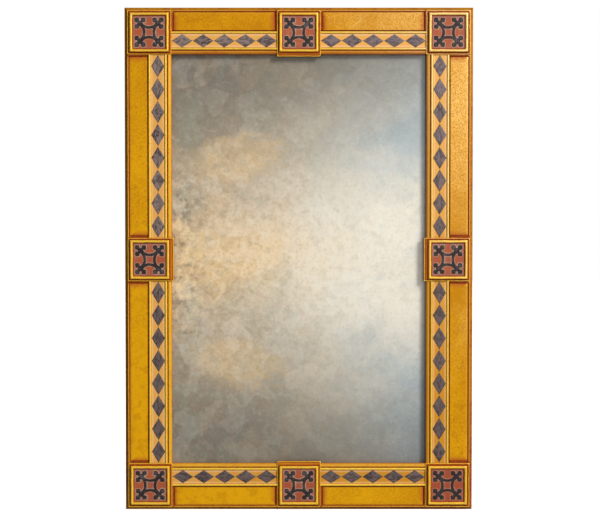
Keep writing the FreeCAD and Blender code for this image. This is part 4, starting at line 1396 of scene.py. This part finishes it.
class StripsOperator(bpy.types.Operator):
    """Make the beaded mouldings that carry the lozenges and frame the glass"""

    bl_idname = "mirror.strips"
    bl_label = "Inlaid mouldings"

    def execute(self, context):
        sizes = context.scene.mirror_mouldings
        material = gilding(context.scene.mirror_colours, "gilded_strip", strip=True)
        ground = -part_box("lozenges_top_left")[0].y
        tree = swept_run_tree()
        for side, tail, node, low, high in runs("fret_moulding_"):
            name = "gilt_strip." + tail
            reach = HALF_HEIGHT if side in ("top", "bottom") else HALF_WIDTH
            start = reach - high.z - sizes.bead_lap
            values = {
                "Profile": profile_object(strip_profile(sizes, start, -high.y, ground, SIGHT_SHADE[side])),
                "Start": (low.x, 0.0, 0.0),
                "End": (high.x, 0.0, 0.0),
                "Stations": round((high.x - low.x) / STRIP_STEP),
                "Waver": sizes.waver,
                "Material": material,
            }
            mesh = grow(tree, name, values)
            mesh.transform(side_turn(side) @ Matrix.Translation((0.0, 0.0, reach)))
            dress(name, mesh, material, node)
        return {"FINISHED"}


class LozengesOperator(bpy.types.Operator):
    """Make the rows of slate lozenges"""

    bl_idname = "mirror.lozenges"
    bl_label = "Lozenges"

    def execute(self, context):
        sizes = context.scene.mirror_fittings
        material = slate_finish(context.scene.mirror_colours, "slate_lozenge")
        tree = inlay_row_tree()
        for number, (side, tail, node, low, high) in enumerate(runs("lozenges_")):
            name = "slate_row." + tail
            count = sizes.lozenges_rail if side in ("top", "bottom") else sizes.lozenges_stile
            pitch = (high.x - low.x + sizes.lozenge_gap) / count
            half_length = (pitch - sizes.lozenge_space) / 2
            shape = lozenge_mesh(half_length, sizes.lozenge_width / 2, -high.y, -low.y, sizes.lozenge_crown)
            values = {
                "Lozenge": bpy.data.objects.new("lozenge", shape),
                "First": (low.x + (pitch - sizes.lozenge_gap) / 2, 0.0, (low.z + high.z) / 2),
                "Pitch": (pitch, 0.0, 0.0),
                "Count": count,
                "Tilt": (0.0, sizes.lozenge_tilt, 0.0),
                "Seed": SEED + number,
                "Material": material,
            }
            mesh = grow(tree, name, values)
            mesh.transform(side_turn(side))
            dress(name, mesh, material, node)
        return {"FINISHED"}


class BlocksOperator(bpy.types.Operator):
    """Make the raised blocks with their gilt rings"""

    bl_idname = "mirror.blocks"
    bl_label = "Blocks"

    def execute(self, context):
        sizes = context.scene.mirror_blocks
        waver = context.scene.mirror_mouldings.waver
        lap = context.scene.mirror_tiles.lap
        material = gilding(context.scene.mirror_colours, "gilded_block")
        for tail in BLOCKS:
            name = "gilt_block." + tail
            tile_low, tile_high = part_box("rosette_" + tail)
            centre = (tile_low + tile_high) / 2
            tile_half = (tile_high.x - tile_low.x) / 2 + lap
            low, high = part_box("block_" + tail)
            loops = block_loops(sizes, low, high, centre, tile_half, -tile_low.y, -tile_high.y)
            mesh = plain_mesh(name, *shape_block(loops, waver))
            dress(name, mesh, material, "block_" + tail)
        return {"FINISHED"}


class TilesOperator(bpy.types.Operator):
    """Make the carved and painted tiles"""

    bl_idname = "mirror.tiles"
    bl_label = "Rosette tiles"

    def execute(self, context):
        sizes = context.scene.mirror_tiles
        material = tile_finish(context.scene.mirror_colours, "painted_tile")
        for tail in BLOCKS:
            name = "painted_tile." + tail
            mesh = plain_mesh(name, *shape_tile(sizes, *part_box("rosette_" + tail)))
            dress(name, mesh, material, "rosette_" + tail)
        return {"FINISHED"}


class GlassOperator(bpy.types.Operator):
    """Finish the antiqued glass"""

    bl_idname = "mirror.glass"
    bl_label = "Glass"

    def execute(self, context):
        coat("mirror_glass", antiqued_mirror(context.scene.mirror_colours, "antiqued_mirror"))
        return {"FINISHED"}


class BackOperator(bpy.types.Operator):
    """Finish the back board and make its screws and the wall bumpers"""

    bl_idname = "mirror.back"
    bl_label = "Back"

    def execute(self, context):
        sizes = context.scene.mirror_fittings
        look = context.scene.mirror_colours
        coat("back_board", plywood(look, "back_board_ply"))
        steel = zinc_plate(look, "zinc_screws")
        for node, name in (("back_board_screws", "board_screw_set"), ("hanger_screws", "hanger_screw_set")):
            self.place_screws(sizes, steel, node, name)
        rubber = bumper_rubber(look, "bumper_rubber")
        feet = islands("wall_bumpers")
        places = [((low.x + high.x) / 2, high.y, (low.z + high.z) / 2) for low, high in feet]
        mesh = scatter("bumper_set", places, bumper_mesh(*feet[0]), rubber)
        dress("bumper_set", mesh, rubber, "wall_bumpers")
        return {"FINISHED"}

    def place_screws(self, sizes, steel, node, name):
        """Set a screw in the place of each solid of a CAD node."""
        solids = islands(node)
        low, high = solids[0]
        radius = (high.x - low.x) / 2
        height = radius * SCREW_HEIGHT
        screw = screw_mesh(sizes, radius, height, high.y - low.y - height)
        places = [((low.x + high.x) / 2, high.y - height, (low.z + high.z) / 2) for low, high in solids]
        mesh = scatter(name, places, screw, steel)
        dress(name, mesh, steel, node)


class HangersOperator(bpy.types.Operator):
    """Finish the hanger straps and make their rings"""

    bl_idname = "mirror.hangers"
    bl_label = "Hangers"

    def execute(self, context):
        sizes = context.scene.mirror_fittings
        steel = zinc_plate(context.scene.mirror_colours, "zinc_hangers")
        tree = self.ring_tree()
        for side in HANGER_SIDES:
            coat("hanger_strap_" + side, steel)
            name = "ring_wire." + side
            node = "hanger_ring_" + side
            path = self.ring_path(sizes, *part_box(node))
            mesh = grow(tree, name, {"Path": path, "Radius": sizes.wire_radius, "Material": steel})
            dress(name, mesh, steel, node, "ring_" + side)
        return {"FINISHED"}

    def ring_path(self, sizes, low, high):
        """Return the closed middle line of a D-shaped ring that fills a box."""
        wire = sizes.wire_radius
        middle = (low + high) / 2
        half = (high.x - low.x) / 2 - wire
        top = high.z - wire
        bend = sizes.ring_bend
        centre = top - sizes.ring_leg
        bend_steps, bow_steps = 8, 24
        shoulder = []
        for index in range(bend_steps + 1):
            angle = math.pi / 2 * (1 - index / bend_steps)
            shoulder.append((half - bend + bend * math.cos(angle), top - bend + bend * math.sin(angle)))
        bow = []
        for index in range(bow_steps + 1):
            angle = -math.pi * index / bow_steps
            bow.append((half * math.cos(angle), centre + half * math.sin(angle)))
        points = shoulder + bow + [(-x, z) for x, z in reversed(shoulder)]
        return loop_object("ring_path", [(middle.x + x, middle.y, z) for x, z in points])

    def ring_tree(self):
        """Build the tree that bends round wire along a ring's middle line."""
        tree, wires = node_group("Bent wire", {"Path": "Object", "Radius": "Float", "Material": "Material"})
        inputs = {"Resolution": 20, "Radius": wires["Radius"]}
        section = Wire.node(tree, "GeometryNodeCurvePrimitiveCircle", None, inputs)
        inputs = {"Curve": wires["Path"].line(), "Profile Curve": section}
        tube = Wire.node(tree, "GeometryNodeCurveToMesh", None, inputs)
        end_group(tree, tube, wires["Material"])
        return tree


OPERATORS = (
    StageOperator,
    MembersOperator,
    FieldsOperator,
    StripsOperator,
    LozengesOperator,
    BlocksOperator,
    TilesOperator,
    GlassOperator,
    BackOperator,
    HangersOperator,
)
SETTINGS = {
    "mirror_mouldings": MouldingSizes,
    "mirror_blocks": BlockSizes,
    "mirror_tiles": TileSizes,
    "mirror_fittings": FittingSizes,
    "mirror_colours": FinishColours,
    "mirror_stage": StageSetting,
}


class MirrorPanel(bpy.types.Panel):
    """Lists the pieces of the mirror"""

    bl_idname = "MIRROR_PT_pieces"
    bl_label = "Overmantel mirror"
    bl_space_type = "VIEW_3D"
    bl_region_type = "UI"
    bl_category = "Mirror"

    def draw(self, context):
        column = self.layout.column()
        for operator in OPERATORS:
            column.operator(operator.bl_idname)
        for settings in SETTINGS:
            group = getattr(context.scene, settings)
            column.label(text=group.bl_rna.name)
            for title in group.__annotations__:
                column.prop(group, title)


CLASSES = (*SETTINGS.values(), *OPERATORS, MirrorPanel)


def register():
    """Register the classes and put their settings on the scene."""
    for item in CLASSES:
        bpy.utils.register_class(item)
    for name, group in SETTINGS.items():
        setattr(bpy.types.Scene, name, PointerProperty(type=group))


def unregister():
    """Take the settings off the scene and unregister the classes."""
    for name in SETTINGS:
        delattr(bpy.types.Scene, name)
    for item in reversed(CLASSES):
        bpy.utils.unregister_class(item)


def main():
    """Make every piece in order."""
    register()
    for operator in OPERATORS:
        group, name = operator.bl_idname.split(".")
        getattr(getattr(bpy.ops, group), name)()


if __name__ == "__main__":
    main()
